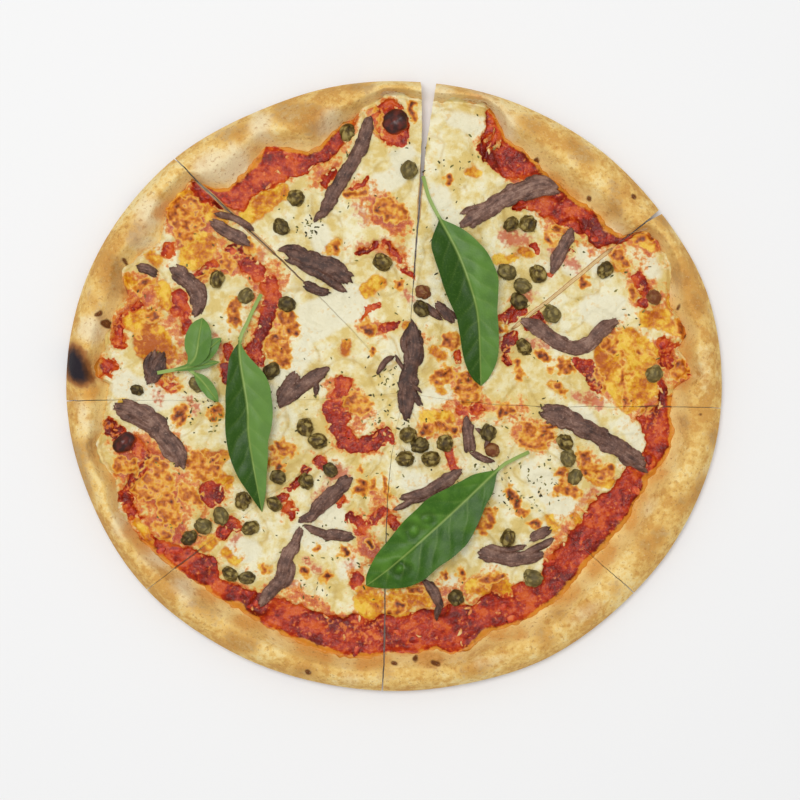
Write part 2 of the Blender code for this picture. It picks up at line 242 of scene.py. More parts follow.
def doughTop(x, y):
    share, _ = rimShare(x, y)
    share = np.clip(share, 0, 1)
    crest = heights["crest"]
    beyond = np.maximum(share - crest, 0) / (1 - crest)
    drop = 1 - heights["edgeDrop"] * beyond ** heights["edgeCurve"]
    rise = np.where(share < crest, softStep(share / crest), drop)
    swell = relief(x, y, heights["rimBubbles"])
    return heights["floor"] + (heights["rim"] - heights["floor"] + swell) * rise


# Paint: what colours the topping and the rim. Each stroke is its half width, then its places.

toppingPaint = {
    "sauce": (
        (16, 388, 116, 394, 132), (4, 322, 182, 336, 172), (3, 352, 188, 368, 178),
        (4, 360, 252, 375, 246), (4, 386, 246, 402, 258), (3, 405, 269, 413, 275),
        (3, 368, 308, 379, 305), (2, 363, 316, 371, 311), (6, 383, 327, 392, 326),
        (7, 484, 148, 492, 160, 506, 170, 524, 176), (6, 500, 152, 518, 156),
        (4, 516, 207, 530, 201), (9, 540, 202, 556, 207), (12, 562, 213, 580, 224),
        (8, 590, 231, 600, 239), (2.5, 569, 251, 574, 250), (4, 534, 244, 539, 250),
        (3, 552, 275, 556, 268), (8, 508, 317, 519, 310), (6, 506, 347, 511, 337),
        (4, 504, 358, 506, 362), (6, 530, 327, 540, 318), (7, 637, 276, 642, 281),
        (6, 646, 290, 642, 303), (9, 664, 347, 667, 360), (5, 662, 384, 662, 398),
        (7, 579, 362, 587, 368), (7, 592, 372, 597, 386), (8, 648, 415, 655, 420),
        (5, 463, 410, 478, 406), (2.5, 457, 350, 456, 362),
        (8, 342, 385, 338, 398), (9, 330, 410, 342, 414), (10, 338, 428, 346, 440),
        (8, 354, 446, 372, 443, 386, 436), (4, 388, 432, 391, 440),
        (5, 350, 518, 366, 521, 384, 511), (6, 361, 531, 363, 523), (5, 392, 519, 395, 527),
        (4, 341, 505, 345, 499), (6, 317, 459, 322, 464), (5, 290, 484, 298, 480),
        (6, 289, 508, 294, 512), (7, 355, 583, 358, 578), (5, 300, 480, 306, 470),
        (8, 268, 286, 275, 297, 264, 322), (7, 262, 334, 252, 352, 258, 361),
        (8, 232, 250, 244, 258, 258, 272), (5, 192, 275, 214, 263), (9, 178, 297, 180, 310),
        (5, 184, 318, 187, 330), (5, 227, 346, 229, 356), (5, 224, 367, 226, 382),
        (7, 166, 382, 172, 384), (6, 104, 371, 113, 366), (6, 165, 252, 168, 248),
        (9, 112, 426, 118, 434), (8, 133, 444, 143, 453), (6, 143, 467, 130, 484),
        (7, 124, 494, 129, 508, 136, 518), (11, 210, 493, 213, 497), (6, 233, 521, 237, 528),
        (7, 222, 533, 228, 527), (6, 118, 345, 118, 330, 126, 317), (4, 132, 309, 138, 305),
        (8, 197, 190, 204, 195, 221, 201), (5, 280, 500, 285, 496),
        (4, 470, 414, 480, 410), (5, 451, 460, 456, 468), (3, 374, 308, 378, 306),
        (5, 590, 364, 592, 374), (6, 447, 448, 452, 458),
    ),
    "gold": (
        (10, 248, 216, 264, 203, 280, 192), (6, 206, 208, 222, 219), (12, 190, 256, 206, 244),
        (5, 158, 262, 152, 256), (7, 162, 288, 165, 302), (11, 134, 322, 146, 318),
        (17, 148, 340, 160, 352), (12, 606, 350, 612, 378), (16, 628, 342, 640, 352),
        (16, 640, 372, 642, 390), (10, 620, 392, 628, 402), (8, 646, 318, 660, 316),
        (7, 668, 326, 674, 330), (8, 596, 474, 608, 480), (13, 367, 598, 371, 609),
        (9, 396, 596, 402, 608), (8, 416, 598, 424, 600), (8, 474, 586, 492, 580, 508, 590),
        (5, 204, 548, 212, 542), (5, 226, 553, 234, 562), (5, 136, 524, 150, 540),
        (7, 426, 418, 450, 420), (6, 366, 290, 380, 282), (5, 404, 325, 410, 332),
        (5, 434, 350, 442, 356), (4, 438, 386, 442, 392), (5, 553, 388, 561, 389),
        (5, 551, 518, 556, 530), (5, 575, 515, 579, 520), (5, 471, 168, 477, 174),
        (5, 498, 260, 512, 258), (5, 520, 250, 530, 254), (7, 384, 205, 396, 214),
        (6, 176, 202, 190, 196), (4, 268, 465, 286, 448), (5, 330, 248, 337, 243),
        (5, 128, 278, 134, 285), (4, 120, 405, 132, 405), (8, 205, 455, 222, 460),
        (6, 219, 478, 226, 482), (5, 345, 350, 347, 347), (5, 642, 240, 652, 246),
        (6, 618, 268, 620, 262), (5, 672, 300, 676, 306), (4, 321, 577, 330, 577),
        (4, 262, 566, 268, 568), (6, 352, 400, 364, 408), (5, 538, 575, 530, 582),
    ),
    "orange": (
        (13, 180, 212, 186, 232), (9, 192, 208, 198, 222), (6, 200, 276, 212, 268),
        (6, 138, 290, 148, 280), (9, 228, 262, 246, 246), (8, 234, 306, 232, 320),
        (8, 286, 318, 290, 328), (13, 276, 348, 280, 356), (6, 168, 380, 176, 384),
        (9, 178, 417, 182, 418), (7, 214, 416, 217, 412), (11, 384, 206, 398, 212),
        (5, 345, 196, 362, 190), (4, 447, 178, 447, 181), (5, 334, 246, 335, 248),
        (4, 398, 282, 398, 286), (6, 367, 326, 372, 332), (4, 371, 350, 373, 352),
        (9, 352, 402, 364, 406), (8, 449, 341, 452, 342), (8, 438, 378, 446, 373),
        (11, 466, 382, 468, 396), (6, 520, 371, 521, 377), (4, 516, 361, 516, 364),
        (6, 540, 356, 546, 358), (8, 564, 366, 568, 367), (5, 558, 389, 563, 390),
        (6, 500, 411, 509, 409), (11, 528, 436, 543, 438), (4, 540, 426, 553, 425),
        (6, 511, 491, 516, 502), (4, 520, 506, 524, 512), (8, 489, 513, 484, 528),
        (5, 534, 523, 537, 525), (5, 560, 472, 561, 478), (9, 562, 488, 572, 491),
        (8, 584, 456, 590, 468), (7, 600, 472, 608, 470), (4, 445, 575, 446, 576),
        (4, 461, 575, 463, 576), (6, 424, 430, 440, 428), (5, 448, 430, 456, 430),
        (9, 362, 487, 369, 486), (3, 386, 479, 387, 494), (3, 361, 470, 364, 472),
        (5, 345, 550, 346, 553), (4, 367, 546, 372, 548), (5, 301, 571, 305, 572),
        (5, 325, 577, 327, 578), (4, 317, 548, 318, 550), (4, 264, 567, 266, 568),
        (7, 283, 446, 292, 450), (5, 278, 462, 282, 468), (4, 272, 447, 274, 449),
        (14, 144, 486, 160, 482), (11, 166, 500, 172, 516), (8, 184, 490, 196, 500),
        (10, 196, 462, 212, 470), (6, 204, 480, 196, 474), (7, 118, 462, 132, 466),
        (6, 158, 526, 166, 536), (8, 150, 462, 162, 466), (7, 164, 372, 156, 360),
        (5, 640, 238, 651, 234), (6, 618, 254, 624, 264), (5, 632, 290, 634, 294),
        (6, 584, 280, 585, 283), (8, 678, 364, 682, 374), (6, 680, 327, 684, 336),
        (6, 598, 376, 601, 386), (5, 644, 412, 652, 414), (5, 610, 340, 614, 350),
        (3, 622, 356, 623, 380, 627, 404), (5, 533, 160, 535, 162),
        (7, 400, 606, 392, 612), (5, 412, 590, 420, 592), (6, 378, 112, 380, 130),
        (4, 411, 105, 414, 118), (4, 585, 197, 590, 199), (4, 500, 322, 503, 330),
        (5, 556, 228, 566, 232), (4, 546, 236, 552, 240), (5, 486, 580, 500, 575),
    ),
    "oil": (
        (16, 186, 212, 200, 262), (12, 214, 216, 276, 200), (14, 214, 250, 270, 250),
        (18, 136, 290, 160, 330, 176, 350), (12, 268, 262, 268, 300, 264, 350),
        (14, 372, 196, 396, 236), (20, 610, 340, 650, 360, 640, 400), (10, 650, 250, 664, 300),
        (16, 120, 440, 200, 466), (18, 140, 480, 200, 500), (12, 140, 520, 190, 545),
        (12, 340, 400, 360, 440), (12, 436, 426, 470, 412, 520, 408), (10, 384, 500, 372, 556),
        (14, 370, 600, 440, 600, 500, 586), (10, 560, 556, 600, 500), (12, 590, 462, 566, 490),
        (10, 640, 420, 650, 450), (8, 340, 150, 300, 180), (10, 520, 436, 548, 434),
        (8, 430, 340, 470, 380), (8, 552, 225, 600, 245), (12, 240, 590, 320, 612),
    ),
    "rust": (
        (14, 180, 206, 186, 236), (8, 198, 212, 204, 226), (12, 126, 448, 150, 456),
        (14, 142, 484, 166, 500), (10, 160, 520, 176, 528), (7, 134, 452, 124, 466),
        (9, 106, 424, 110, 440), (10, 664, 350, 682, 372), (6, 682, 326, 684, 336),
        (6, 640, 236, 654, 244), (8, 226, 262, 250, 250), (6, 138, 282, 146, 296),
        (12, 382, 206, 402, 220), (7, 118, 344, 120, 322, 136, 308), (10, 344, 404, 362, 412),
        (6, 236, 258, 256, 256), (7, 596, 376, 604, 392), (6, 468, 408, 480, 412),
        (8, 650, 408, 660, 420), (9, 330, 624, 376, 632), (7, 390, 560, 356, 548),
        (6, 376, 108, 382, 132), (5, 360, 326, 386, 328), (6, 166, 372, 176, 386),
    ),
    "brown": (
        (4, 180, 205, 188, 214), (3, 184, 226, 192, 232), (3, 176, 222, 178, 230),
        (4, 272, 340, 282, 338), (3, 288, 350, 290, 358), (3, 231, 304, 236, 300),
        (5, 176, 414, 184, 414), (3, 211, 412, 216, 410), (3, 394, 212, 398, 216),
        (2.5, 447, 179, 447, 181), (3, 366, 326, 370, 335), (3, 348, 400, 356, 398),
        (3, 446, 338, 454, 340), (3, 436, 376, 446, 370), (3, 460, 378, 474, 380),
        (3, 458, 392, 462, 400), (2.5, 518, 374, 522, 378), (4, 566, 364, 569, 368),
        (2, 549, 371, 550, 372), (3, 498, 410, 508, 406), (3, 522, 432, 528, 428),
        (3, 540, 436, 548, 434), (3, 510, 490, 514, 498), (3, 484, 514, 488, 522),
        (3, 534, 522, 538, 525), (3, 562, 486, 570, 492), (4, 582, 454, 588, 458),
        (3, 602, 470, 608, 474), (3, 426, 432, 438, 430), (4, 360, 484, 368, 484),
        (2.5, 345, 550, 346, 554), (2.5, 302, 571, 304, 573), (2.5, 326, 577, 328, 579),
        (3, 150, 484, 158, 490), (3, 166, 498, 172, 506), (3, 160, 512, 164, 520),
        (2, 204, 490, 196, 500), (3, 208, 462, 216, 458), (3, 194, 452, 200, 460),
        (2.5, 620, 252, 624, 258), (2.5, 640, 238, 642, 239), (3, 680, 330, 683, 334),
        (2, 622, 352, 623, 380, 627, 404), (2, 612, 346, 616, 342), (2, 648, 352, 650, 356),
        (2, 628, 374, 632, 376), (2, 640, 350, 642, 354), (3, 682, 368, 686, 376),
        (4, 533, 159, 536, 162), (2.5, 404, 604, 396, 600), (2, 416, 588, 424, 588),
        (3, 143, 318, 152, 314), (2, 134, 332, 138, 338), (3, 150, 320, 158, 316),
        (4, 608, 326, 616, 330), (3, 604, 340, 608, 348), (2, 142, 466, 136, 476),
    ),
    "milk": (
        (16, 594, 310, 614, 308), (8, 583, 250, 588, 252), (8, 566, 268, 574, 270),
        (9, 626, 424, 640, 442), (17, 124, 384, 150, 396), (9, 160, 398, 178, 398),
        (20, 312, 322, 352, 302), (13, 236, 548, 250, 552), (13, 326, 512, 340, 520),
        (9, 428, 396, 452, 396), (12, 372, 190, 398, 176), (14, 440, 196, 452, 250),
        (12, 456, 118, 478, 126), (10, 398, 158, 410, 152), (12, 545, 480, 560, 506),
        (12, 530, 470, 545, 490), (10, 575, 414, 590, 420), (9, 190, 350, 200, 344),
        (8, 194, 286, 206, 300), (14, 286, 376, 300, 356), (10, 600, 252, 596, 262),
        (9, 448, 590, 452, 584), (12, 300, 530, 320, 544), (10, 344, 572, 352, 566),
        (10, 650, 262, 656, 272), (10, 572, 508, 560, 500), (8, 276, 402, 268, 392),
        (12, 318, 232, 330, 260), (10, 410, 480, 424, 484), (8, 492, 488, 500, 496),
    ),
    "blush": (
        (8, 505, 236, 528, 240), (8, 556, 250, 566, 262), (6, 574, 262, 580, 268),
        (6, 344, 192, 366, 184), (8, 362, 246, 402, 250), (6, 356, 208, 366, 220),
        (6, 220, 346, 232, 380), (5, 216, 334, 226, 350), (8, 600, 404, 590, 398),
        (6, 576, 396, 590, 402), (8, 516, 300, 530, 296), (6, 480, 414, 470, 418),
        (7, 316, 500, 330, 490), (8, 330, 470, 344, 474), (5, 392, 500, 396, 530),
        (6, 350, 560, 352, 572), (6, 280, 580, 300, 588), (6, 306, 560, 320, 572),
        (6, 232, 542, 238, 536), (5, 404, 290, 410, 300), (8, 250, 268, 262, 252),
        (7, 596, 492, 584, 502), (6, 564, 538, 556, 546), (5, 400, 580, 420, 584),
        (6, 494, 330, 500, 350), (6, 530, 344, 548, 346), (5, 452, 402, 446, 408),
        (7, 176, 540, 196, 534), (6, 188, 402, 196, 412), (6, 160, 396, 158, 388),
    ),
}

rimPaint = {
    "brown": (
        (9, 222, 134, 240, 132), (14, 286, 110, 312, 118), (11, 108, 262, 116, 292),
        (7, 92, 300, 98, 310), (5, 103, 316, 105, 318), (9, 84, 446, 88, 490),
        (7, 76, 470, 82, 500), (5, 70, 440, 72, 450), (6, 458, 96, 460, 99),
        (8, 612, 190, 616, 210), (8, 662, 222, 666, 226), (10, 674, 272, 680, 280),
        (9, 696, 300, 700, 308), (8, 642, 542, 644, 544), (6, 647, 552, 648, 554),
        (7, 543, 632, 548, 638), (6, 556, 616, 562, 618), (5, 586, 605, 589, 608),
        (5, 426, 659, 438, 660), (4, 485, 662, 488, 662), (10, 232, 634, 250, 640),
        (8, 714, 434, 716, 446), (9, 92, 520, 100, 530), (7, 124, 566, 134, 576),
        (7, 300, 668, 316, 672), (8, 700, 480, 694, 500), (6, 612, 582, 616, 590),
        (8, 520, 120, 540, 130), (9, 570, 148, 590, 160), (7, 350, 90, 370, 88),
        (8, 196, 600, 214, 614), (6, 76, 400, 78, 406), (6, 640, 590, 634, 598),
        (7, 660, 530, 656, 540), (6, 680, 500, 676, 508), (8, 140, 226, 136, 236),
        (6, 680, 420, 684, 428), (7, 466, 672, 480, 670), (6, 384, 672, 392, 674),
    ),
    "spot": (
        (2.6, 630, 195, 631, 196), (2, 587, 196, 588, 197), (1.8, 123, 258, 123, 265),
        (2.2, 103, 312, 99, 316), (2.2, 107, 322, 110, 318), (2, 414, 658, 417, 656),
        (2, 394, 661, 396, 660), (3, 536, 162, 537, 163), (1.6, 679, 306, 679, 309),
        (2.4, 309, 671, 311, 672), (1.6, 698, 418, 700, 418), (2, 433, 659, 438, 661),
    ),
    "paleToneAndLight": (
        (17, 208, 170, 236, 162), (14, 146, 216, 158, 206), (12, 90, 328, 98, 328),
        (8, 84, 406, 86, 424), (9, 148, 548, 164, 562), (9, 120, 520, 128, 528),
        (12, 262, 120, 258, 132), (10, 480, 100, 490, 110), (9, 650, 252, 664, 290),
        (8, 500, 116, 510, 132), (9, 430, 96, 448, 98), (8, 610, 226, 620, 232),
        (10, 140, 240, 150, 244), (9, 320, 126, 336, 118), (8, 180, 586, 192, 596),
        (4, 702, 350, 704, 390), (4, 570, 622, 596, 600), (4, 470, 664, 510, 654),
        (4, 644, 516, 656, 504), (4, 346, 674, 368, 678),
    ),
    "char": ((11, 75, 359, 79, 374), (6, 84, 370, 85, 378), (6, 72, 349, 74, 352)),
    "stain": (
        (9, 100, 360, 108, 372), (8, 174, 196, 162, 214), (6, 150, 248, 136, 258),
        (7, 128, 280, 130, 296), (6, 116, 320, 108, 344), (8, 130, 524, 148, 546),
        (6, 680, 390, 688, 380), (7, 660, 470, 652, 482), (8, 644, 496, 630, 524),
        (8, 612, 546, 590, 570), (7, 576, 590, 556, 606), (7, 520, 628, 496, 634),
        (7, 420, 656, 442, 656), (8, 360, 662, 388, 660), (8, 300, 646, 326, 656),
        (8, 240, 616, 262, 626), (7, 96, 440, 104, 462), (7, 96, 388, 92, 396),
        (6, 112, 476, 116, 486), (8, 556, 180, 574, 194), (6, 596, 208, 610, 222),
        (5, 500, 140, 520, 146), (6, 384, 94, 402, 94), (5, 250, 160, 262, 148),
        (6, 470, 100, 486, 104), (6, 684, 342, 690, 366), (6, 200, 590, 216, 600),
    ),
}


def nearTo(places, margin, x, y):
    # whether each place is within a margin of the box around some places
    low, high = places.min(axis=0) - margin, places.max(axis=0) + margin
    return (x > low[0]) & (x < high[0]) & (y > low[1]) & (y < high[1])


def coverage(strokes, viewX, viewY, soft):
    # 1 well inside the strokes, 0.5 on their outline and 0 well outside
    mask = np.zeros(viewX.shape)
    for half, *numbers in strokes:
        places = np.array(numbers, float).reshape(-1, 2)
        near = nearTo(places, half + 2 * soft, viewX, viewY)
        if not near.any():
            continue
        x, y = viewX[near], viewY[near]
        distance = np.full(x.shape, np.inf)
        for (startX, startY), (endX, endY) in zip(places, places[1:]):
            alongX, alongY = endX - startX, endY - startY
            square = max(alongX**2 + alongY**2, 1e-9)
            share = np.clip(((x - startX) * alongX + (y - startY) * alongY) / square, 0, 1)
            offset = np.hypot(x - startX - share * alongX, y - startY - share * alongY)
            distance = np.minimum(distance, offset)
        mask[near] = np.maximum(mask[near], np.clip(0.5 + (half - distance) / 2 / soft, 0, 1))
    return mask


def warped(x, y, seed, *pushes):
    # the places pushed about by some amounts at some spacings, so that outlines are ragged
    pushedX, pushedY, apart = x, y, 7.3
    for number, (amount, spacing) in enumerate(pushes):
        pushedX = pushedX + amount * bumps(x, y, spacing, seed + number)
        pushedY = pushedY + amount * bumps(x, y, spacing, seed + number + apart)
    return pushedX, pushedY


softness = {
    "sauce": 2.2, "gold": 3.5, "orange": 3.4, "brown": 2.8, "milk": 4.0, "blush": 4.0,
    "oil": 6.0, "rust": 5.0, "spot": 1.5, "paleToneAndLight": 6.0, "char": 7.0, "stain": 5.0,
}


def paintMasks(table, x, y):
    viewX, viewY = toView(x, y)
    return {
        kind: coverage(strokes, viewX, viewY, softness[kind]) for kind, strokes in table.items()
    }


# The whole pizza's colours and heights are worked out on one fine grid, and read from it

canvas = {"step": 0.5 / fine, "halfWidth": 170.0, "halfHeight": 159.0}


def canvasPlaces():
    sides = canvas["halfWidth"], canvas["halfHeight"]
    return np.meshgrid(*(np.arange(-side, side, canvas["step"]) for side in sides))


def sampled(field, x, y):
    column = np.clip((x + canvas["halfWidth"]) / canvas["step"], 0, field.shape[1] - 1.001)
    row = np.clip((y + canvas["halfHeight"]) / canvas["step"], 0, field.shape[0] - 1.001)
    left, low = column.astype(int), row.astype(int)
    shareX, shareY = column - left, row - low
    lower = field[low, left] * (1 - shareX) + field[low, left + 1] * shareX
    upper = field[low + 1, left] * (1 - shareX) + field[low + 1, left + 1] * shareX
    return lower * (1 - shareY) + upper * shareY


def blurred(field, radius):
    ups = np.fft.fftfreq(field.shape[0], canvas["step"])[:, None]
    acrosses = np.fft.rfftfreq(field.shape[1], canvas["step"])[None, :]
    keep = np.exp(-2 * (math.pi * radius) ** 2 * (ups**2 + acrosses**2))
    return np.fft.irfft2(np.fft.rfft2(field) * keep, field.shape)


def lumps(x, y, spacing, seed):
    # rounded lumps with creases between them, 0 in a crease and near 1 on a lump
    gain, roundness = 2.4, 0.75
    return np.clip(np.abs(bumps(x, y, spacing, seed)) * gain, 0, 1) ** roundness


# How each cut shows where cheese has closed it: from and to which share of the way it is a raised
# tan line, and from and to which share a crease painted dark, as painted shade in the cut
cutMarks = {
    "ridgeHalf": 0.8, "creaseHalf": 0.35, "fade": 0.05,
    "ridges": ((1, 0.4, 0.8), (2, 0.56, 0.78), (3, 0.58, 0.92)),
    "shadedCreases": (
        (0, 0.42, 0.5), (0, 0.74, 1.0), (1, 0.84, 0.97), (2, 0.35, 0.8), (3, 0.42, 1.0),
        (5, 0.78, 1.0), (6, 0.78, 1.0), (7, 0.84, 1.0),
    ),
}


def cutLines(x, y, marks, half):
    angle, share = polar(x, y)
    distance = edgeDistance(angle) * share
    mask, fade = np.zeros(x.shape), cutMarks["fade"]
    for index, start, end in marks:
        turn = (angle - cutAngle(index, np.clip(share, 0.02, 1), 0) + math.pi) % tau - math.pi
        beside = softStep(1.5 - np.abs(turn * distance) / half)
        along = softStep((share - start) / fade + 0.5) * softStep((end - share) / fade + 0.5)
        mask = np.maximum(mask, beside * along * (np.abs(turn) < 1))
    return mask


# The surface of the topping: noise is height, spacing and seed, and a push is amount and spacing
surface = {
    "paintSeed": 3.1, "paintPushes": ((2.2, 9.0), (1.3, 3.4), (0.6, 1.5)),
    "cheeseSeed": 41.0, "cheesePush": (3.0, 12.0),
    "wide": (1.2, 17, 4.5), "narrow": (0.85, 7.5, 6.5), "grit": (0.16, 2.6, 8.5),
    "broken": ((0.55, 4.5, 16.5), (0.4, 2.0, 17.5)), "bare": (0.4, 6.0, 18.5),
    "folds": 0.45, "foldsRound": 32, "foldsOutwards": 13, "foldSeed": 1.5, "foldStart": 0.45,
    "pulp": ((0.4, 6.0, 2.5), (0.2, 2.2, 3.5)), "pool": 9, "cheeseFade": 1.8, "footing": 2.6,
    "toastSwell": 0.7, "toastGrit": 0.5, "brownDip": 0.3, "goldDip": 0.25, "ridge": 0.5,
    "patchy": ((1.1, 18, 19.5), (0.7, 6, 20.5)),
    "outermost": ((1.6, 5, 23.5), (2.2, 15, 26.5)), "outermostWidth": 3.0,
}


def makeSauce(x, y, ragged, masks):
    # how far each place is sauce, and how far it is well inside the cheese
    overlap = depthInside(cheeseReach, *ragged)
    inCheese = masks["sauce"] * patches(x, y, 1.05, 0, 1, *surface["broken"])
    # no bare sauce where the cheese runs up to the rim
    bare = softStep(bareWidth(*ragged) / 3 - 0.7)
    bare *= 1 - softStep(0.5 + overlap / surface["cheeseFade"])
    sauce = np.maximum(inCheese, bare * patches(x, y, 1.1, 0.6, 1, surface["bare"]))
    return sauce * (1 - 0.85 * masks["gold"]), softStep(overlap / surface["pool"])


def makeFolds(x, y):
    # the sauce lies in soft folds that run outwards
    angle, share = polar(x, y)
    around, outwards = angle * surface["foldsRound"], share * surface["foldsOutwards"]
    start = softStep((share - surface["foldStart"]) / 0.3)
    return bumps(around, outwards, 1.0, surface["foldSeed"]) * start


def makeOil(x, y, sauce, masks):
    # orange oil around the sauce and the browned patches
    near = 0.6 * blurred(sauce, 1.6) + 0.7 * blurred(np.maximum(sauce, masks["gold"]), 3.4)
    near += 0.5 * blurred(masks["orange"], 2.2) + 0.5 * blurred(sauce, 6.0)
    near += 0.8 * blurred(masks["oil"], 3.0)
    patchy = patches(x, y, 0.75, 0.1, 1.4, *surface["patchy"])
    return np.clip(near * patchy, 0, 0.6) + 0.5 * blurred(masks["rust"], 1.6)


def makeOutermost(x, y, sauce):
    # the outermost stretch of the topping, strongest beside sauce
    inwards = depthInside(toppingReach, x, y) + relief(x, y, *surface["outermost"])
    strength = 0.25 + 0.75 * blurred(sauce, 2.5)
    return softStep(0.7 - inwards / surface["outermostWidth"]) * strength


def makeToppingFields():
    x, y = canvasPlaces()
    ragged = warped(x, y, surface["paintSeed"], *surface["paintPushes"])
    masks = paintMasks(toppingPaint, *ragged)
    sauce, pools = makeSauce(x, y, ragged, masks)
    cover = softStep(1 - sauce)
    wander = warped(x, y, surface["cheeseSeed"], surface["cheesePush"])
    (wideRise, *wideNoise), (narrowRise, *narrowNoise) = surface["wide"], surface["narrow"]
    gritRise, *gritNoise = surface["grit"]
    wide, narrow = lumps(*wander, *wideNoise), lumps(*wander, *narrowNoise)
    grit = lumps(x, y, *gritNoise)
    cheese = heights["cheese"] + wideRise * wide + narrowRise * narrow + gritRise * grit
    folds = makeFolds(x, y)
    wet = heights["sauce"] + (heights["sauceInCheese"] - heights["sauce"]) * pools
    wet += surface["folds"] * folds + relief(x, y, *surface["pulp"])
    height = wet + (cheese - wet) * cover
    # browned patches are darkest just inside their outline, and pale in the middle of large ones
    inward = np.clip(masks["orange"] - blurred(masks["orange"], 2.4), 0, 1)
    patch = masks["orange"] * (0.42 + 0.75 * inward)
    toast = np.maximum(patch, 0.72 * masks["brown"]) * (0.25 + 0.75 * cover)
    height += surface["toastSwell"] * blurred(toast, 1.2)
    height += surface["toastGrit"] * toast * (grit - 0.3)
    height -= (surface["brownDip"] * masks["brown"] + surface["goldDip"] * masks["gold"]) * cover
    ridge = cutLines(x, y, cutMarks["ridges"], cutMarks["ridgeHalf"])
    height += surface["ridge"] * blurred(ridge, 0.5)
    held = softStep(underFillets(x, y) / surface["footing"] + 1)
    height += held * np.maximum(heights["underFillets"] - height, 0)
    # painted shade: the creases between the cheese lumps are darkened
    shadedCreases = (1 - wide) ** 3 * 0.8 + (1 - narrow) ** 4 * 0.5
    return {
        "height": height, "sauce": sauce, "toast": toast, "oil": makeOil(x, y, sauce, masks),
        "outermost": makeOutermost(x, y, sauce), "gold": blurred(masks["gold"], 0.9),
        "milk": blurred(masks["milk"], 2.0), "blush": blurred(masks["blush"], 1.4),
        "shadedCrease": np.clip(shadedCreases, 0, 1) * cover, "ridge": ridge,
        "cutShade": cutLines(x, y, cutMarks["shadedCreases"], cutMarks["creaseHalf"]),
        "fold": blurred(folds, 0.4), "chunky": blurred(masks["rust"], 1.6),
    }


# The paint of the rim: noise is height, spacing and seed, a push is amount and spacing, and each
# kind is spread by some millimetres
rimPatches = {
    "seed": 61.0, "pushes": ((3.4, 17.0), (1.6, 6.0), (0.6, 2.2)), "oily": (1.2, 22, 25.5),
    "oilWidth": 2.6, "paintedSlopeLight": 0.55,
    "spread": {
        "brown": 2.2, "paleToneAndLight": 3.0, "stain": 2.0, "spot": 0.4, "char": 2.0, "oil": 0.4,
        "paintedSlopeLight": 1.0,
    },
}


def makeRimFields():
    x, y = canvasPlaces()
    ragged = warped(x, y, rimPatches["seed"], *rimPatches["pushes"])
    masks = paintMasks(rimPaint, *ragged)
    # oil from the topping, most where bare tomato lies along the rim
    oil = np.clip(1.1 + depthInside(toppingReach, *ragged) / rimPatches["oilWidth"], 0, 1)
    oil *= patches(x, y, 0.55, 0.1, 1.1, rimPatches["oily"])
    masks["oil"] = oil * (0.3 + 0.7 * softStep(bareWidth(*ragged) / 4))
    # the slope towards the topping has browned least, and is painted paler and warmer still: painted
    # light that offsets its shade
    slope, _ = rimShare(*ragged)
    masks["paintedSlopeLight"] = softStep(1 - slope / rimPatches["paintedSlopeLight"])
    return {kind: blurred(mask, rimPatches["spread"][kind]) for kind, mask in masks.items()}


# Fillets and leaves repeat the frame's lines: greatest width, then the places along the middle

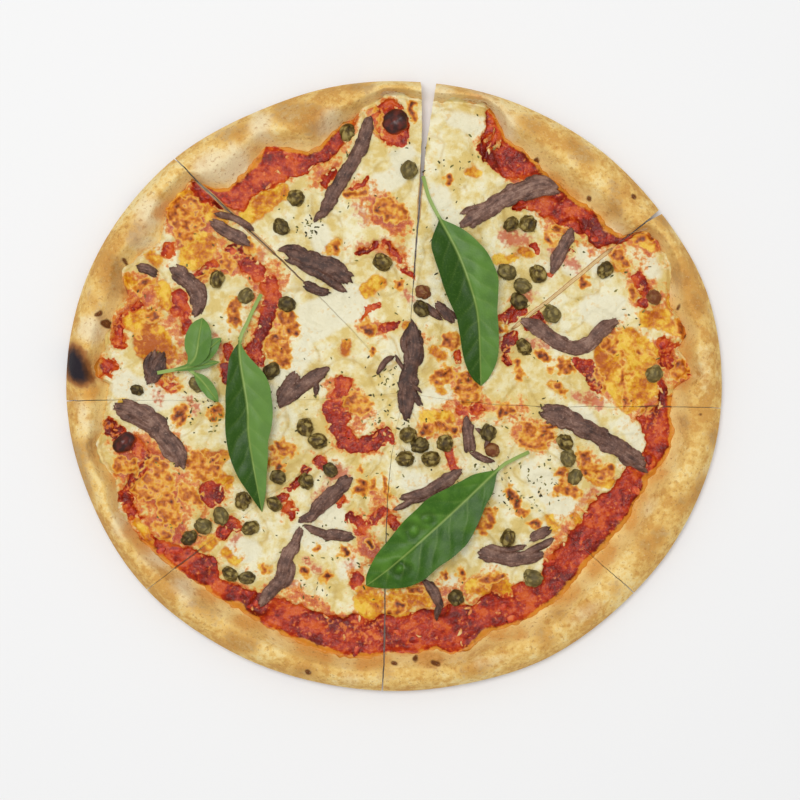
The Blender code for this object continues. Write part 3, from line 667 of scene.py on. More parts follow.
fillets = {
    "thickness": 2.8, "sides": 26, "step": 0.75, "sunk": 0.7, "lowest": 8.3, "smoothing": 13,
    # thin strands lie along the top of each
    "strandSides": 14, "strandSpacing": 3.2, "strandWidth": 0.44, "strandThickness": 0.6,
    "strandEnds": 0.13,
    # from dark to light, in the order of the lines
    "tones": (
        0.45, 0.7, 0.25, 0.15, 0.5, 0.45, 0.4, 0.2, 0.55, 0.4, 0.2, 0.4, 0.3, 0.55, 0.4, 0.5, 0.45,
        0.45, 0.55, 0.4, 0.5, 0.45, 0.4, 0.5,
    ),
    # torn flaps and prongs beside some of the lines
    "branches": {
        1: ((4.0, ((-32, 88), (-37, 86), (-40, 82))),),
        2: ((4.5, ((83, 97), (74, 97), (64, 93))), (3.5, ((52, 90), (40, 89), (33, 86)))),
        3: ((5.0, ((-50, 62), (-36, 55), (-24, 47))), (4.0, ((-58, 68), (-50, 69), (-44, 66)))),
        8: ((3.6, ((-120, 2), (-124, 10), (-121, 17))),),
        9: ((5.0, ((-139, -13), (-128, -18), (-118, -24))),),
        10: ((7.5, ((-58, -8), (-53, 0), (-48.5, 6.5))), (3.6, ((-42, 4), (-39, 0), (-39, -5)))),
        11: ((4.2, ((8, 30), (5, 22), (7, 14))), (5.0, ((5, 2), (10, -4), (13, -10)))),
        12: ((2.4, ((0.5, 15.5), (5, 8), (9, 1), (14, -3))),),
        13: ((4.5, ((12, 43), (18, 38), (24, 33))),),
        15: ((4.0, ((38, -33), (44, -36), (50, -38))), (3.4, ((41, -21), (47, -26), (45, -31)))),
        16: ((3.6, ((14, -52), (8, -58), (0, -62))),),
        17: ((5.0, ((74, -11), (84, -12), (92, -17))), (4.0, ((112, -35), (120, -39), (127, -43)))),
        18: ((5.0, ((-34, -60), (-40, -64), (-48, -68))), (4.0, ((-26, -54), (-34, -60), (-39, -64)))),
        19: (
            (4.0, ((-52, -86), (-51, -94), (-55, -101))),
            (5.0, ((-46.5, -71), (-49, -77), (-53, -85))),
        ),
        20: ((4.6, ((-45, -69.5), (-38, -73), (-30, -75))),),
        21: ((3.6, ((46, -80), (56, -82), (66, -80))),),
        22: ((4.4, ((80, -76), (74, -80), (64, -84))),),
        23: ((4.0, ((24, -107), (22, -112), (21, -117))),),
        24: ((4.0, ((-90, 86), (-80, 84), (-70, 78))),),
    },
    "lines": (
        (7.5, ((-12, 135), (-14.5, 125), (-20, 113), (-27, 102), (-34, 89), (-36, 84))),
        (9.0, ((82, 99), (75, 101.5), (66, 99), (54, 93), (41, 85), (33, 80))),
        (10.0, ((-54, 67), (-40, 62), (-28, 57), (-22, 52))),
        (5.5, ((-45, 51), (-38.5, 48), (-32, 47))),
        (7.0, ((89, 79), (86, 72), (82, 64), (79, 56))),
        (8.5, ((-112, 59), (-105, 54), (-99, 48), (-97.5, 41), (-100, 35))),
        (5.5, ((-129, 60), (-123.5, 58.5), (-118.5, 56))),
        (9.0, ((-123, 1), (-119.5, 9), (-115.5, 17))),
        (10.0, ((-140, -10), (-130, -12.5), (-121, -18), (-114, -27), (-108, -35),
                (-105, -41))),
        (8.0, ((-32.5, 9), (-44, 1.5), (-58, -10))),
        (8.5, ((8.5, 32.5), (10.5, 19), (7.5, 6), (6, -6), (6.5, -17))),
        (3.6, ((-8.5, 6), (-4, 12.5), (0.5, 15))),
        (6.0, ((21, 41.5), (26, 36.5), (30, 31.5))),
        (8.0, ((64, 33.5), (73, 28.5), (82.5, 21.5), (91, 19), (98.5, 22), (104, 28),
               (112, 33))),
        (6.5, ((36, -15), (37.5, -26), (38, -33))),
        (7.0, ((34, -42), (22, -50), (12.5, -55), (3, -56))),
        (9.0, ((73, -14), (83, -16), (95, -21), (108, -28.5), (118, -35), (126, -40))),
        (8.0, ((-21, -46), (-31, -54), (-38, -61), (-43, -68))),
        (7.5, ((-48.5, -76), (-54, -87), (-56.5, -97), (-63, -104), (-67, -110))),
        (6.5, ((-38, -74), (-29, -74.5), (-20, -76))),
        (7.5, ((42, -83), (54, -86), (67, -86), (75, -84))),
        (6.0, ((78, -71), (73, -74), (68, -77))),
        (6.0, ((14.5, -97), (20, -103), (23, -111))),
        (7.0, ((-92, 82), (-82, 76.5), (-72, 70.5))),
    ),
}


def smoothLine(points, step):
    # places at about equal steps along a smooth curve through the points
    corners = [Vector(point) for point in points]
    corners = [2 * corners[0] - corners[1], *corners, 2 * corners[-1] - corners[-2]]
    line = []
    for before, start, end, after in zip(corners, corners[1:], corners[2:], corners[3:]):
        pieces = max(1, round((end - start).length / step))
        for piece in range(pieces):
            t = piece / pieces
            bend = (2 * before - 5 * start + 4 * end - after) * t**2
            twist = (3 * start - before - 3 * end + after) * t**3
            line.append(start + 0.5 * ((end - before) * t + bend + twist))
    return [*line, corners[-2]]


def directions(line, number):
    # ahead along a line, and to its left
    ahead = (line[min(number + 1, len(line) - 1)] - line[max(number - 1, 0)]).normalized()
    return ahead, Vector((-ahead.y, ahead.x))


def placesAlong(line):
    return np.array([tuple(place) for place in line])


def underFillets(x, y):
    # how far each place is inside the outline of a fillet, in millimetres
    far = 9.0
    inside = np.full(x.shape, -far)
    for width, points in fillets["lines"]:
        places = placesAlong(smoothLine(points, 4))
        near = nearTo(places, far, x, y)
        if near.any():
            gap = np.hypot(x[near][:, None] - places[:, 0], y[near][:, None] - places[:, 1])
            inside[near] = np.maximum(inside[near], width / 2 - gap.min(axis=1))
    return inside


# The topping runs a little way up the rim, with a ragged outline and a rounded edge
raggedEdge = {
    "reach": 0.012, "ragged": ((0.007, 7, 12.5), (0.005, 2.6, 13.5)), "round": 150,
    "edge": 2.8, "lift": 0.15, "leastThickness": 0.35,
}


def visualReach(angle):
    around = raggedEdge["round"] * np.cos(angle), raggedEdge["round"] * np.sin(angle)
    return toppingReach(angle) + raggedEdge["reach"] + relief(*around, *raggedEdge["ragged"])


def toppingHeight(x, y):
    left = depthInside(visualReach, x, y)
    dough = doughTop(x, y)
    height = np.maximum(sampled(toppingFields["height"], x, y), dough + raggedEdge["leastThickness"])
    low = dough + raggedEdge["lift"]
    return low + (height - low) * np.sqrt(np.clip(left / raggedEdge["edge"], 0, 1))


toppingFields, rimFields = makeToppingFields(), makeRimFields()
print("colours and heights worked out")


# Materials


def colour(red, green, blue):
    # a colour as seen on a screen, 0 to 255, in the linear values that shaders use
    values = np.array((red, green, blue)) / 255
    linear = np.where(values <= 0.04045, values / 12.92, ((values + 0.055) / 1.055) ** 2.4)
    return (*linear.tolist(), 1.0)


class Nodes:
    # short ways to add shader nodes to one material: a value is a number, a socket, a colour as
    # three numbers from 0 to 255, or the name of an attribute
    def __init__(self, name, roughness, specular=0.5):
        self.material = bpy.data.materials.new(name)
        self.material.use_nodes = True
        self.tree = self.material.node_tree
        self.shader = self.tree.nodes["Principled BSDF"]
        self.shader.inputs["Roughness"].default_value = roughness
        self.shader.inputs["Specular IOR Level"].default_value = specular
        self.object = self.add("ShaderNodeTexCoord").outputs["Object"]

    def put(self, socket, value):
        if isinstance(value, str):
            value = self.attribute(value)
        if isinstance(value, bpy.types.NodeSocket):
            self.tree.links.new(value, socket)
        else:
            socket.default_value = colour(*value) if isinstance(value, tuple) else value

    def add(self, kind, inputs=(), **settings):
        node = self.tree.nodes.new(kind)
        for name, value in settings.items():
            setattr(node, name, value)
        for name, value in dict(inputs).items():
            self.put(node.inputs[name], value)
        return node

    def noise(self, size, detail=3.0, roughness=0.55, vector=None):
        # noise between 0 and 1, with features of this size in millimetres
        inputs = {
            "Vector": vector or self.object, "Scale": 1 / (size * mm),
            "Detail": detail, "Roughness": roughness,
        }
        return self.add("ShaderNodeTexNoise", inputs).outputs["Fac"]

    def attribute(self, name, output="Fac"):
        return self.add("ShaderNodeAttribute", attribute_name=name).outputs[output]

    def math(self, operation, *values):
        node = self.add("ShaderNodeMath", dict(enumerate(values)), operation=operation)
        return node.outputs[0]

    def shaken(self, value, *shakes):
        # a value with patterns added to it, each with a strength
        for pattern, strength in shakes:
            value = self.math("MULTIPLY_ADD", pattern, strength, value)
        return self.math("SUBTRACT", value, sum(strength for _, strength in shakes) / 2)

    def step(self, value, low, high, strength=1.0):
        inputs = {"Value": value, "From Min": low, "From Max": high, "To Max": strength}
        node = self.add("ShaderNodeMapRange", inputs, interpolation_type="SMOOTHSTEP")
        return node.outputs["Result"]

    def ramp(self, value, *stops):
        node = self.add("ShaderNodeValToRGB", {"Fac": value})
        elements = node.color_ramp.elements
        for number, (place, *tint) in enumerate(stops):
            element = elements[number] if number < 2 else elements.new(place)
            element.position = place
            element.color = colour(*tint)
        return node.outputs["Color"]

    def mix(self, factor, first, second):
        node = self.add("ShaderNodeMix", {0: factor}, data_type="RGBA")
        self.put(node.inputs[6], first)
        self.put(node.inputs[7], second)
        return node.outputs[2]

    def layered(self, base, *layers):
        # tints laid over a base, each where its value climbs from low to high
        for value, low, high, strength, tint in layers:
            base = self.mix(self.step(value, low, high, strength), base, tint)
        return base

    def gated(self, base, name, value, low, high, strength, tint):
        # one tint laid over a base, and only where an attribute is above nothing
        mask, gate = self.step(value, low, high, strength), self.step(name, 0.01, 0.12)
        return self.mix(self.math("MULTIPLY", mask, gate), base, tint)

    def finish(self, base, bump=None, depth=0.2, roughness=None):
        self.put(self.shader.inputs["Base Color"], base)
        if bump is not None:
            inputs = {"Height": bump, "Distance": depth * mm, "Strength": 1.0}
            node = self.add("ShaderNodeBump", inputs)
            self.put(self.shader.inputs["Normal"], node.outputs["Normal"])
        if roughness is not None:
            self.put(self.shader.inputs["Roughness"], roughness)
        return self.material


def paintedCheese(n, broad, patchy, grain):
    cheese = n.ramp(
        n.shaken(broad, (patchy, 0.8)),
        (0.36, 218, 192, 116), (0.45, 227, 208, 146), (0.54, 232, 219, 168), (0.63, 237, 229, 192),
    )
    # painted shade darkens the creases between the cheese lumps
    cheese = n.layered(
        cheese, (n.shaken("shadedCrease", (patchy, 0.3)), 0.25, 0.9, 0.8, (198, 168, 92)),
        (n.shaken("milk", (patchy, 0.5)), 0.35, 0.8, 0.9, (232, 226, 196)),
        (grain, 0.6, 0.74, 0.4, (212, 190, 124)),
    )
    freckles = n.math("MULTIPLY", n.step(n.noise(2.6, 1, 0.5), 0.58, 0.68), n.step(broad, 0.46, 0.6))
    return n.mix(n.math("MULTIPLY", freckles, 0.5), cheese, (226, 186, 110))


def paintedGold(n, broad, patchy, blotch):
    return n.ramp(
        n.shaken(broad, (patchy, 0.7), (blotch, 0.35)),
        (0.34, 178, 88, 14), (0.43, 202, 120, 18), (0.53, 218, 152, 28), (0.64, 234, 190, 66),
    )


def paintedSauce(n, sauce, broad, patchy, blotch, speckle):
    tone = n.shaken(broad, (patchy, 0.8), (blotch, 0.3))
    red = n.ramp(
        n.math("MULTIPLY_ADD", "fold", 0.1, tone),
        (0.32, 108, 16, 3), (0.43, 146, 30, 7), (0.54, 176, 48, 13), (0.66, 204, 86, 26),
    )
    chunk = n.math("MULTIPLY_ADD", "chunky", 0.15, blotch)
    # orange chunks are pulp, and the pale speckle is partly bits of pulp and partly painted glints
    red = n.layered(
        red, (chunk, 0.61, 0.74, 0.7, (220, 122, 46)), (speckle, 0.64, 0.74, 0.3, (228, 150, 90)),
    )
    edging = n.ramp(sauce, (0.3, 228, 150, 64), (0.55, 200, 70, 28))
    return n.mix(n.step(sauce, 0.42, 0.66), edging, red)


def makeToppingMaterial():
    n = Nodes("meltedTopping", 0.4, 0.26)
    broad, patchy = n.noise(13, 3, 0.5), n.noise(4.2, 4, 0.6)
    blotch, grain, speckle = n.noise(1.9, 1.5, 0.5), n.noise(1.3, 4, 0.6), n.noise(0.7, 2, 0.5)
    soft, curd = n.noise(2.7, 1, 0.4), n.noise(3.4, 2, 0.5)
    topping = paintedCheese(n, broad, patchy, grain)
    blush = n.shaken("blush", (blotch, 1.4), (patchy, 1.0))
    blushed = n.ramp(blush, (0.3, 230, 190, 140), (0.9, 196, 92, 56))
    topping = n.gated(topping, "blush", blush, 0.3, 0.9, 0.85, blushed)
    oil = n.shaken("oil", (patchy, 1.5), (blotch, 0.9), (broad, 0.8))
    oily = n.ramp(
        oil, (0.2, 234, 206, 124), (0.42, 228, 168, 66), (0.62, 216, 124, 42),
        (0.82, 198, 86, 32), (1.0, 176, 54, 22),
    )
    oily = n.layered(oily, (speckle, 0.58, 0.7, 0.4, (238, 190, 110)))
    topping = n.gated(topping, "oil", oil, 0.24, 0.64, 0.92, oily)
    gold = n.shaken("gold", (patchy, 1.0), (blotch, 0.5))
    topping = n.layered(topping, (gold, 0.22, 0.6, 1.0, paintedGold(n, broad, patchy, blotch)))
    sauce = n.shaken("sauce", (blotch, 0.9), (patchy, 0.8))
    red = paintedSauce(n, sauce, broad, patchy, blotch, speckle)
    topping = n.gated(topping, "sauce", sauce, 0.32, 0.5, 1.0, red)
    toast = n.shaken("toast", (soft, 1.3), (patchy, 0.3))
    toasted = n.ramp(
        toast, (0.12, 238, 212, 128), (0.32, 230, 170, 62), (0.52, 208, 122, 34),
        (0.74, 164, 80, 24), (0.96, 92, 42, 16),
    )
    topping = n.gated(topping, "toast", toast, 0.08, 0.36, 1.0, toasted)
    outermost = n.shaken("outermost", (patchy, 1.4), (grain, 0.8))
    ridge = n.ramp(
        n.shaken("ridge", (grain, 0.4)), (0.3, 150, 98, 50), (0.6, 190, 146, 90),
        (0.85, 228, 196, 138),
    )
    # the dark line along a closed cut is painted shade
    topping = n.layered(
        topping, (outermost, 0.4, 0.95, 0.8, (220, 150, 50)), ("ridge", 0.15, 0.4, 1.0, ridge),
        ("cutShade", 0.1, 0.8, 0.9, (110, 54, 28)),
    )
    wet = n.step(n.math("MAXIMUM", sauce, oil), 0.1, 0.6)
    roughness = n.math("MULTIPLY_ADD", wet, -0.2, 0.4)
    return n.finish(topping, n.shaken(grain, (speckle, 0.4), (curd, 1.8)), 0.4, roughness)


def makeCrustMaterial():
    n = Nodes("bakedCrust", 0.75, 0.15)
    broad, patchy = n.noise(30, 3, 0.5), n.noise(9, 4, 0.6)
    small, grain, pores = n.noise(3.0, 4, 0.6), n.noise(0.9, 4, 0.65), n.noise(1.7, 2, 0.5)
    crust = n.ramp(
        n.shaken(broad, (patchy, 0.7), (small, 0.8)),
        (0.34, 214, 160, 82), (0.44, 228, 183, 101), (0.55, 240, 201, 121), (0.67, 247, 221, 154),
    )
    stain = n.shaken(n.math("MAXIMUM", "stain", "oil"), (patchy, 1.3), (small, 0.8))
    stained = n.ramp(stain, (0.1, 238, 202, 120), (0.9, 224, 148, 52))
    brown = n.shaken("brown", (patchy, 1.5), (small, 1.5))
    burnt = n.ramp(brown, (0.1, 216, 164, 90), (0.6, 200, 140, 68), (1.0, 164, 104, 46))
    # the slope towards the topping is brightened, painted light that offsets its shade
    crust = n.layered(
        crust, (n.shaken("paintedSlopeLight", (patchy, 0.8)), 0.1, 0.9, 0.7, (254, 222, 148)),
        (n.shaken("paleToneAndLight", (patchy, 1.0), (small, 0.5)), 0.15, 1.0, 0.85, (244, 227, 186)),
        (stain, 0.1, 0.9, 0.7, stained), (brown, 0.15, 0.95, 0.55, burnt),
        ("spot", 0.2, 0.7, 1.0, (112, 64, 28)), (grain, 0.56, 0.74, 0.4, (242, 224, 182)),
        (grain, 0.42, 0.3, 0.4, (184, 128, 70)), (pores, 0.6, 0.7, 0.5, (176, 118, 60)),
    )
    under = n.mix(n.step(patchy, 0.48, 0.62), (214, 172, 112), (156, 98, 50))
    under = n.layered(under, (small, 0.58, 0.7, 0.7, (236, 222, 196)))
    char = n.shaken("char", (patchy, 0.3), (small, 0.3))
    burn = n.ramp(
        char, (0.08, 204, 154, 90), (0.3, 160, 104, 56), (0.5, 92, 60, 42), (0.72, 42, 36, 42),
    )
    crust = n.layered(n.mix("under", crust, under), (char, 0.05, 0.24, 1.0, burn))
    return n.finish(crust, n.shaken(grain, (small, 0.8)), 0.5)


def makeCrumbMaterial():
    n = Nodes("breadCrumb", 0.85, 0.15)
    grain, holes = n.noise(1.3, 3, 0.6), n.noise(3.2, 2, 0.5)
    crumb = n.mix(n.step(grain, 0.4, 0.65), (216, 180, 124), (236, 216, 174))
    return n.finish(n.layered(crumb, (holes, 0.56, 0.66, 1.0, (172, 122, 70))), holes, 0.9)


def makeFilletMaterial():
    n = Nodes("anchovyFlesh", 0.38, 0.3)
    strand = n.attribute("fibre", "Vector")
    fibre, thread = n.noise(1000, 2, 0.5, strand), n.noise(300, 3, 0.6, strand)
    grain, patchy = n.noise(1.0, 4, 0.65), n.noise(5, 3, 0.55)
    calm = n.math("MULTIPLY_ADD", fibre, 0.6, 0.2)
    flesh = n.ramp(
        n.shaken(calm, (thread, 0.3), ("tone", 0.5), (patchy, 1.1), (grain, 0.5)),
        (0.2, 60, 36, 26), (0.4, 90, 59, 46), (0.58, 118, 84, 69), (0.8, 160, 126, 108),
    )
    # the light flecks of grain are painted glints
    flesh = n.layered(
        flesh, (patchy, 0.52, 0.66, 0.35, (104, 70, 52)), (grain, 0.62, 0.7, 0.6, (180, 152, 132)),
    )
    return n.finish(flesh, n.shaken(calm, (thread, 0.4), (grain, 1.2)), 0.26)


def makeCaperMaterial():
    n = Nodes("caperSkin", 0.45, 0.25)
    grain, patchy = n.noise(0.8, 3, 0.6), n.noise(2.6, 2, 0.5)
    # the ridge value paints highlights on the wrinkles and shade in the creases
    skin = n.ramp(
        n.shaken("ridge", (patchy, 1.4), (grain, 0.6)),
        (0.0, 46, 34, 10), (0.4, 80, 62, 22), (0.7, 108, 88, 36), (1.0, 158, 138, 76),
    )
    skin = n.layered(
        skin, ("grey", 0, 1, 0.4, (118, 108, 68)), ("red", 0, 1, 0.65, (130, 62, 38)),
        ("darkToneAndShade", 0, 1, 0.45, (52, 44, 26)),
    )
    return n.finish(skin, grain, 0.3)


def makeBlisterMaterial():
    n = Nodes("burntBlister", 0.35, 0.4)
    patchy = n.noise(3.5, 3, 0.55)
    skin = n.mix(n.step(patchy, 0.4, 0.64), (52, 22, 18), (98, 36, 24))
    return n.finish(n.mix("foot", skin, (176, 70, 30)), patchy, 0.3)


def makeBasilMaterial():
    n = Nodes("basilLeaf", 0.36, 0.2)
    patchy, grain = n.noise(9, 3, 0.5), n.noise(0.8, 3, 0.6)
    blade = n.mix(n.step(patchy, 0.35, 0.65), (54, 100, 18), (84, 130, 36))
    # painted shade on the dark half of each blade, and painted light on the pale half
    blade = n.layered(blade, ("darkToneAndShade", 0, 1, 1.0, (36, 70, 4)))
    blade = n.mix("paleToneAndLight", blade, (106, 140, 70))
    blade = n.layered(blade, (grain, 0.5, 0.75, 0.2, (112, 146, 60)))
    return n.finish(n.mix("vein", blade, (150, 172, 92)), grain, 0.12)


def makeHerbMaterial():
    n = Nodes("driedHerb", 0.7, 0.2)
    tone = n.noise(5, 1, 0.5)
    return n.finish(n.ramp(tone, (0.35, 56, 48, 24), (0.5, 92, 90, 38), (0.62, 130, 122, 62)))


def makeBitMaterial(name, roughness, specular, fineness, depth, *stops):
    n = Nodes(name, roughness, specular)
    grain, patchy = n.noise(fineness, 3, 0.6), n.noise(6, 2, 0.5)
    return n.finish(n.ramp(n.shaken(patchy, (grain, 0.5)), *stops), grain, depth)


materials = {
    "topping": makeToppingMaterial(), "crust": makeCrustMaterial(), "crumb": makeCrumbMaterial(),
    "fillet": makeFilletMaterial(), "caper": makeCaperMaterial(), "basil": makeBasilMaterial(),
    "blister": makeBlisterMaterial(), "herb": makeHerbMaterial(),
    "shred": makeBitMaterial(
        "meltedShred", 0.4, 0.35, 1.1, 0.2,
        (0.38, 200, 84, 40), (0.46, 216, 122, 56), (0.54, 224, 160, 86), (0.64, 230, 202, 140),
    ),
    "pulp": makeBitMaterial(
        "tomatoPulp", 0.35, 0.25, 1.3, 0.25,
        (0.36, 128, 22, 12), (0.46, 168, 40, 18), (0.55, 194, 60, 26), (0.66, 214, 104, 44),
    ),
}
print("materials made")


# Pieces


def addPiece(name, bm, material, sharp=50, extra=()):
    # the bmesh is in millimetres
    bmesh.ops.scale(bm, vec=(mm, mm, mm), verts=bm.verts)
    bmesh.ops.recalc_face_normals(bm, faces=bm.faces)
    mesh = bpy.data.meshes.new(name)
    bm.to_mesh(mesh)
    bm.free()
    for item in (material, *extra):
        mesh.materials.append(item)
    mesh.shade_smooth()
    mesh.set_sharp_from_angle(angle=math.radians(sharp))
    piece = bpy.data.objects.new(name, mesh)
    bpy.context.scene.collection.objects.link(piece)
    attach(piece, "root")
    return piece


def setPlaces(verts, x, y, z):
    for vert, place in zip(verts, zip(x.tolist(), y.tolist(), z.tolist())):
        vert.co = place


def layerFor(bm, name):
    return bm.verts.layers.float.get(name) or bm.verts.layers.float.new(name)


def setLayer(bm, verts, name, values):
    layer = layerFor(bm, name)
    for vert, value in zip(verts, np.asarray(values).tolist()):
        vert[layer] = value


def vertsOf(made):
    return [item for item in made["geom"] if isinstance(item, bmesh.types.BMVert)]


def ballVerts(bm, segments, rings, radius=1.0):
    made = bmesh.ops.create_uvsphere(bm, u_segments=segments, v_segments=rings, radius=radius)
    return made["verts"]


def turned(angle, size=3, axis="Z"):
    return Matrix.Rotation(angle, size, axis)


def addGrid(index, columns, rows, reach):
    # a grid over one slice with the given rows, which slicePlaces turns into places
    bm = bmesh.new()
    last = len(rows) - 1
    bmesh.ops.create_grid(bm, x_segments=round(columns * fine), y_segments=last, size=0.5)
    flat = np.array([tuple(vert.co.xy) for vert in bm.verts]) + 0.5
    row = np.interp(flat[:, 1] * last, range(last + 1), rows)
    return bm, *slicePlaces(index, flat[:, 0], row, reach)


topping = {"columns": 150, "rows": 190, "rimRows": 0.07, "rimShare": 0.02}


def addTopping(index):
    steps = np.linspace(0, 1, round(topping["rows"] * fine) + 1)
    rows = np.interp(steps, (0, 1 - topping["rimRows"], 1), (0, 1 - topping["rimShare"], 1))
    bm, x, y = addGrid(index, topping["columns"], rows, visualReach)
    for kind, field in toppingFields.items():
        if kind != "height":
            setLayer(bm, bm.verts, kind, sampled(field, x, y))
    setPlaces(bm.verts, x, y, toppingHeight(x, y))
    outer = [edge for edge in bm.edges if edge.is_boundary]
    sauce = layerFor(bm, "sauce")
    for vert in vertsOf(bmesh.ops.extrude_edge_only(bm, edges=outer)):
        vert.co.z = heights["toppingBottom"]
        vert[sauce] = 1.0
    openEdges = [edge for edge in bm.edges if edge.is_boundary]
    base = bmesh.ops.contextual_create(bm, geom=openEdges)["faces"]
    bmesh.ops.triangulate(bm, faces=base)
    piece = addPiece(f"topping_{index + 1}", bm, materials["topping"])
    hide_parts(f"tomato_{index + 1}", f"cheese_{index + 1}")


dough = {
    "columns": 150, "innerRows": (0, 0.25, 0.5, 0.75, 0.9, 0.97), "rimRows": 56, "crowding": 1.6,
    # height, spacing and seed
    "ripples": ((0.8, 12.0, 20.5), (0.35, 5.0, 21.5), (0.16, 2.2, 22.5), (0.08, 1.2, 23.5)),
    # the edge is rounded beyond this share of the rim, and the ripples are full past the other
    "roundFrom": 0.3, "rippledFrom": 0.2, "undercutCurve": 2.5,
    # a cut face leans less than this, and looks outward less than the other
    "cutLean": 0.2, "cutOutward": 0.75,
}


def addDough(index):
    steps = np.linspace(0, 1, round(dough["rimRows"] * fine) + 1)
    rows = (*dough["innerRows"], *(2 - (1 - steps) ** dough["crowding"]))
    bm, x, y = addGrid(index, dough["columns"], rows, toppingReach)
    share, fromEdge = rimShare(x, y)
    upper = doughTop(x, y)
    upper += softStep(share / dough["rippledFrom"]) * relief(x, y, *dough["ripples"])
    lower = heights["undercut"] * np.clip(2 * share - 1, 0, None) ** dough["undercutCurve"]
    middle = (upper + lower) / 2
    fullness = np.sqrt(1 - (1 - np.clip(fromEdge / heights["edgeRound"], 0, 1)) ** 2)
    outer = share > dough["roundFrom"]
    rounded = np.where(outer, fullness, 1)
    half = (upper - lower) / 2 * rounded + heights["edgeThickness"] / 2 * (1 - rounded)
    for kind, field in rimFields.items():
        setLayer(bm, bm.verts, kind, sampled(field, x, y))
    setLayer(bm, bm.verts, "under", np.zeros(x.shape))
    setPlaces(bm.verts, x, y, np.where(outer, middle + half, upper))
    bottom = vertsOf(bmesh.ops.extrude_face_region(bm, geom=bm.faces[:]))
    setPlaces(bottom, x, y, np.where(outer, middle - half, lower))
    setLayer(bm, bottom, "under", np.ones(x.shape))
    # the two cut faces show the crumb
    bm.normal_update()
    right, left = cutAngle(index, 1.0, 0), cutAngle(index + 1, 1.0, 0)
    middleAngle = right + ((left - right) % tau) / 2
    outward = Vector((math.cos(middleAngle), math.sin(middleAngle), 0))
    for face in bm.faces:
        lean, facing = abs(face.normal.z), face.normal.dot(outward)
        if lean < dough["cutLean"] and facing < dough["cutOutward"]:
            face.material_index = 1
    piece = addPiece(f"slice_{index + 1}", bm, materials["crust"], 50, (materials["crumb"],))
    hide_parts(f"dough_{index + 1}")


for index in range(pizza["slices"]):
    addTopping(index)
    addDough(index)
print("slices made")


def levelAt(x, y):
    return toppingHeight(np.atleast_1d(np.float64(x)), np.atleast_1d(np.float64(y)))


# How one strand of flesh is shaped. Waves of the sides: share of the width, spacing and shift.
# Waves of the top: height, scale across, spacing along and shift of the seed.
strandForm = {
    "sideWaves": ((0.24, 6, 0), (0.12, 2, 4)), "topWaves": ((0.26, 0.6, 12, 5), (0.3, 0.3, 3.5, 8)),
    "endWidth": 0.12, "taper": (0.3, 0.8), "flatness": 0.7, "torn": 2.2, "tornLength": 4,
    "fibreAcross": 0.8, "fibreAlong": 11,
}


def addStrand(bm, line, width, thickness, levels, seed, tone, sides):
    # one strand of flesh as a closed tube with a flat section, ragged sides and torn ends
    last = len(line) - 1
    toneLayer = layerFor(bm, "tone")
    fibre = bm.verts.layers.float_vector.get("fibre") or bm.verts.layers.float_vector.new("fibre")
    made = bmesh.ops.create_grid(bm, x_segments=sides, y_segments=last, size=0.5)["verts"]
    step = fillets["step"] / fine
    least, power = strandForm["taper"]
    for vert in made:
        around = tau * (vert.co.x + 0.5)
        ring = round((vert.co.y + 0.5) * last)
        travelled, toEnd = ring * step, min(ring, last - ring) * step
        u, v = math.cos(around), math.sin(around)
        full = strandForm["endWidth"]
        if toEnd > 0:
            full = min(1.0, least + (1 - least) * (toEnd / (1.1 * width + 0.01)) ** power)
        ragged = 1.0
        for share, spacing, shift in strandForm["sideWaves"]:
            ragged += share * noise.noise((travelled / spacing, seed, u + shift))
        across = width / 2 * full * ragged * u
        rounded = math.copysign(abs(v) ** strandForm["flatness"], v)
        up = thickness / 2 * (0.4 + 0.6 * full) * rounded
        if v > 0:
            for height, scale, spacing, shift in strandForm["topWaves"]:
                wave = noise.noise((scale * across, travelled / spacing, seed + shift))
                up += height * wave * full
        ahead, left = directions(line, ring)
        torn = strandForm["torn"] * noise.noise((across * 0.9, seed + 2, 0))
        torn *= max(0.0, 1 - toEnd / strandForm["tornLength"])
        place = line[ring] + left * across + ahead * torn
        vert.co = (*place, levels[ring] + up)
        vert[toneLayer] = tone
        along = travelled / strandForm["fibreAlong"]
        vert[fibre] = (strandForm["fibreAcross"] * across, along, seed)
    bmesh.ops.remove_doubles(bm, verts=made, dist=1e-4)
    ends = [edge for edge in bm.edges if edge.is_boundary]
    bmesh.ops.holes_fill(bm, edges=ends, sides=0)


def strandPlaces(line, width, spread, seed, strand):
    # a line beside the middle of a fillet that wanders a little
    places = []
    for ring, place in enumerate(line):
        wander = 0.2 * noise.noise((ring / 9, seed, strand))
        wander += 0.1 * noise.noise((ring / 3, seed, strand))
        _, left = directions(line, ring)
        places.append(place + left * width * (0.88 * spread + wander))
    return places


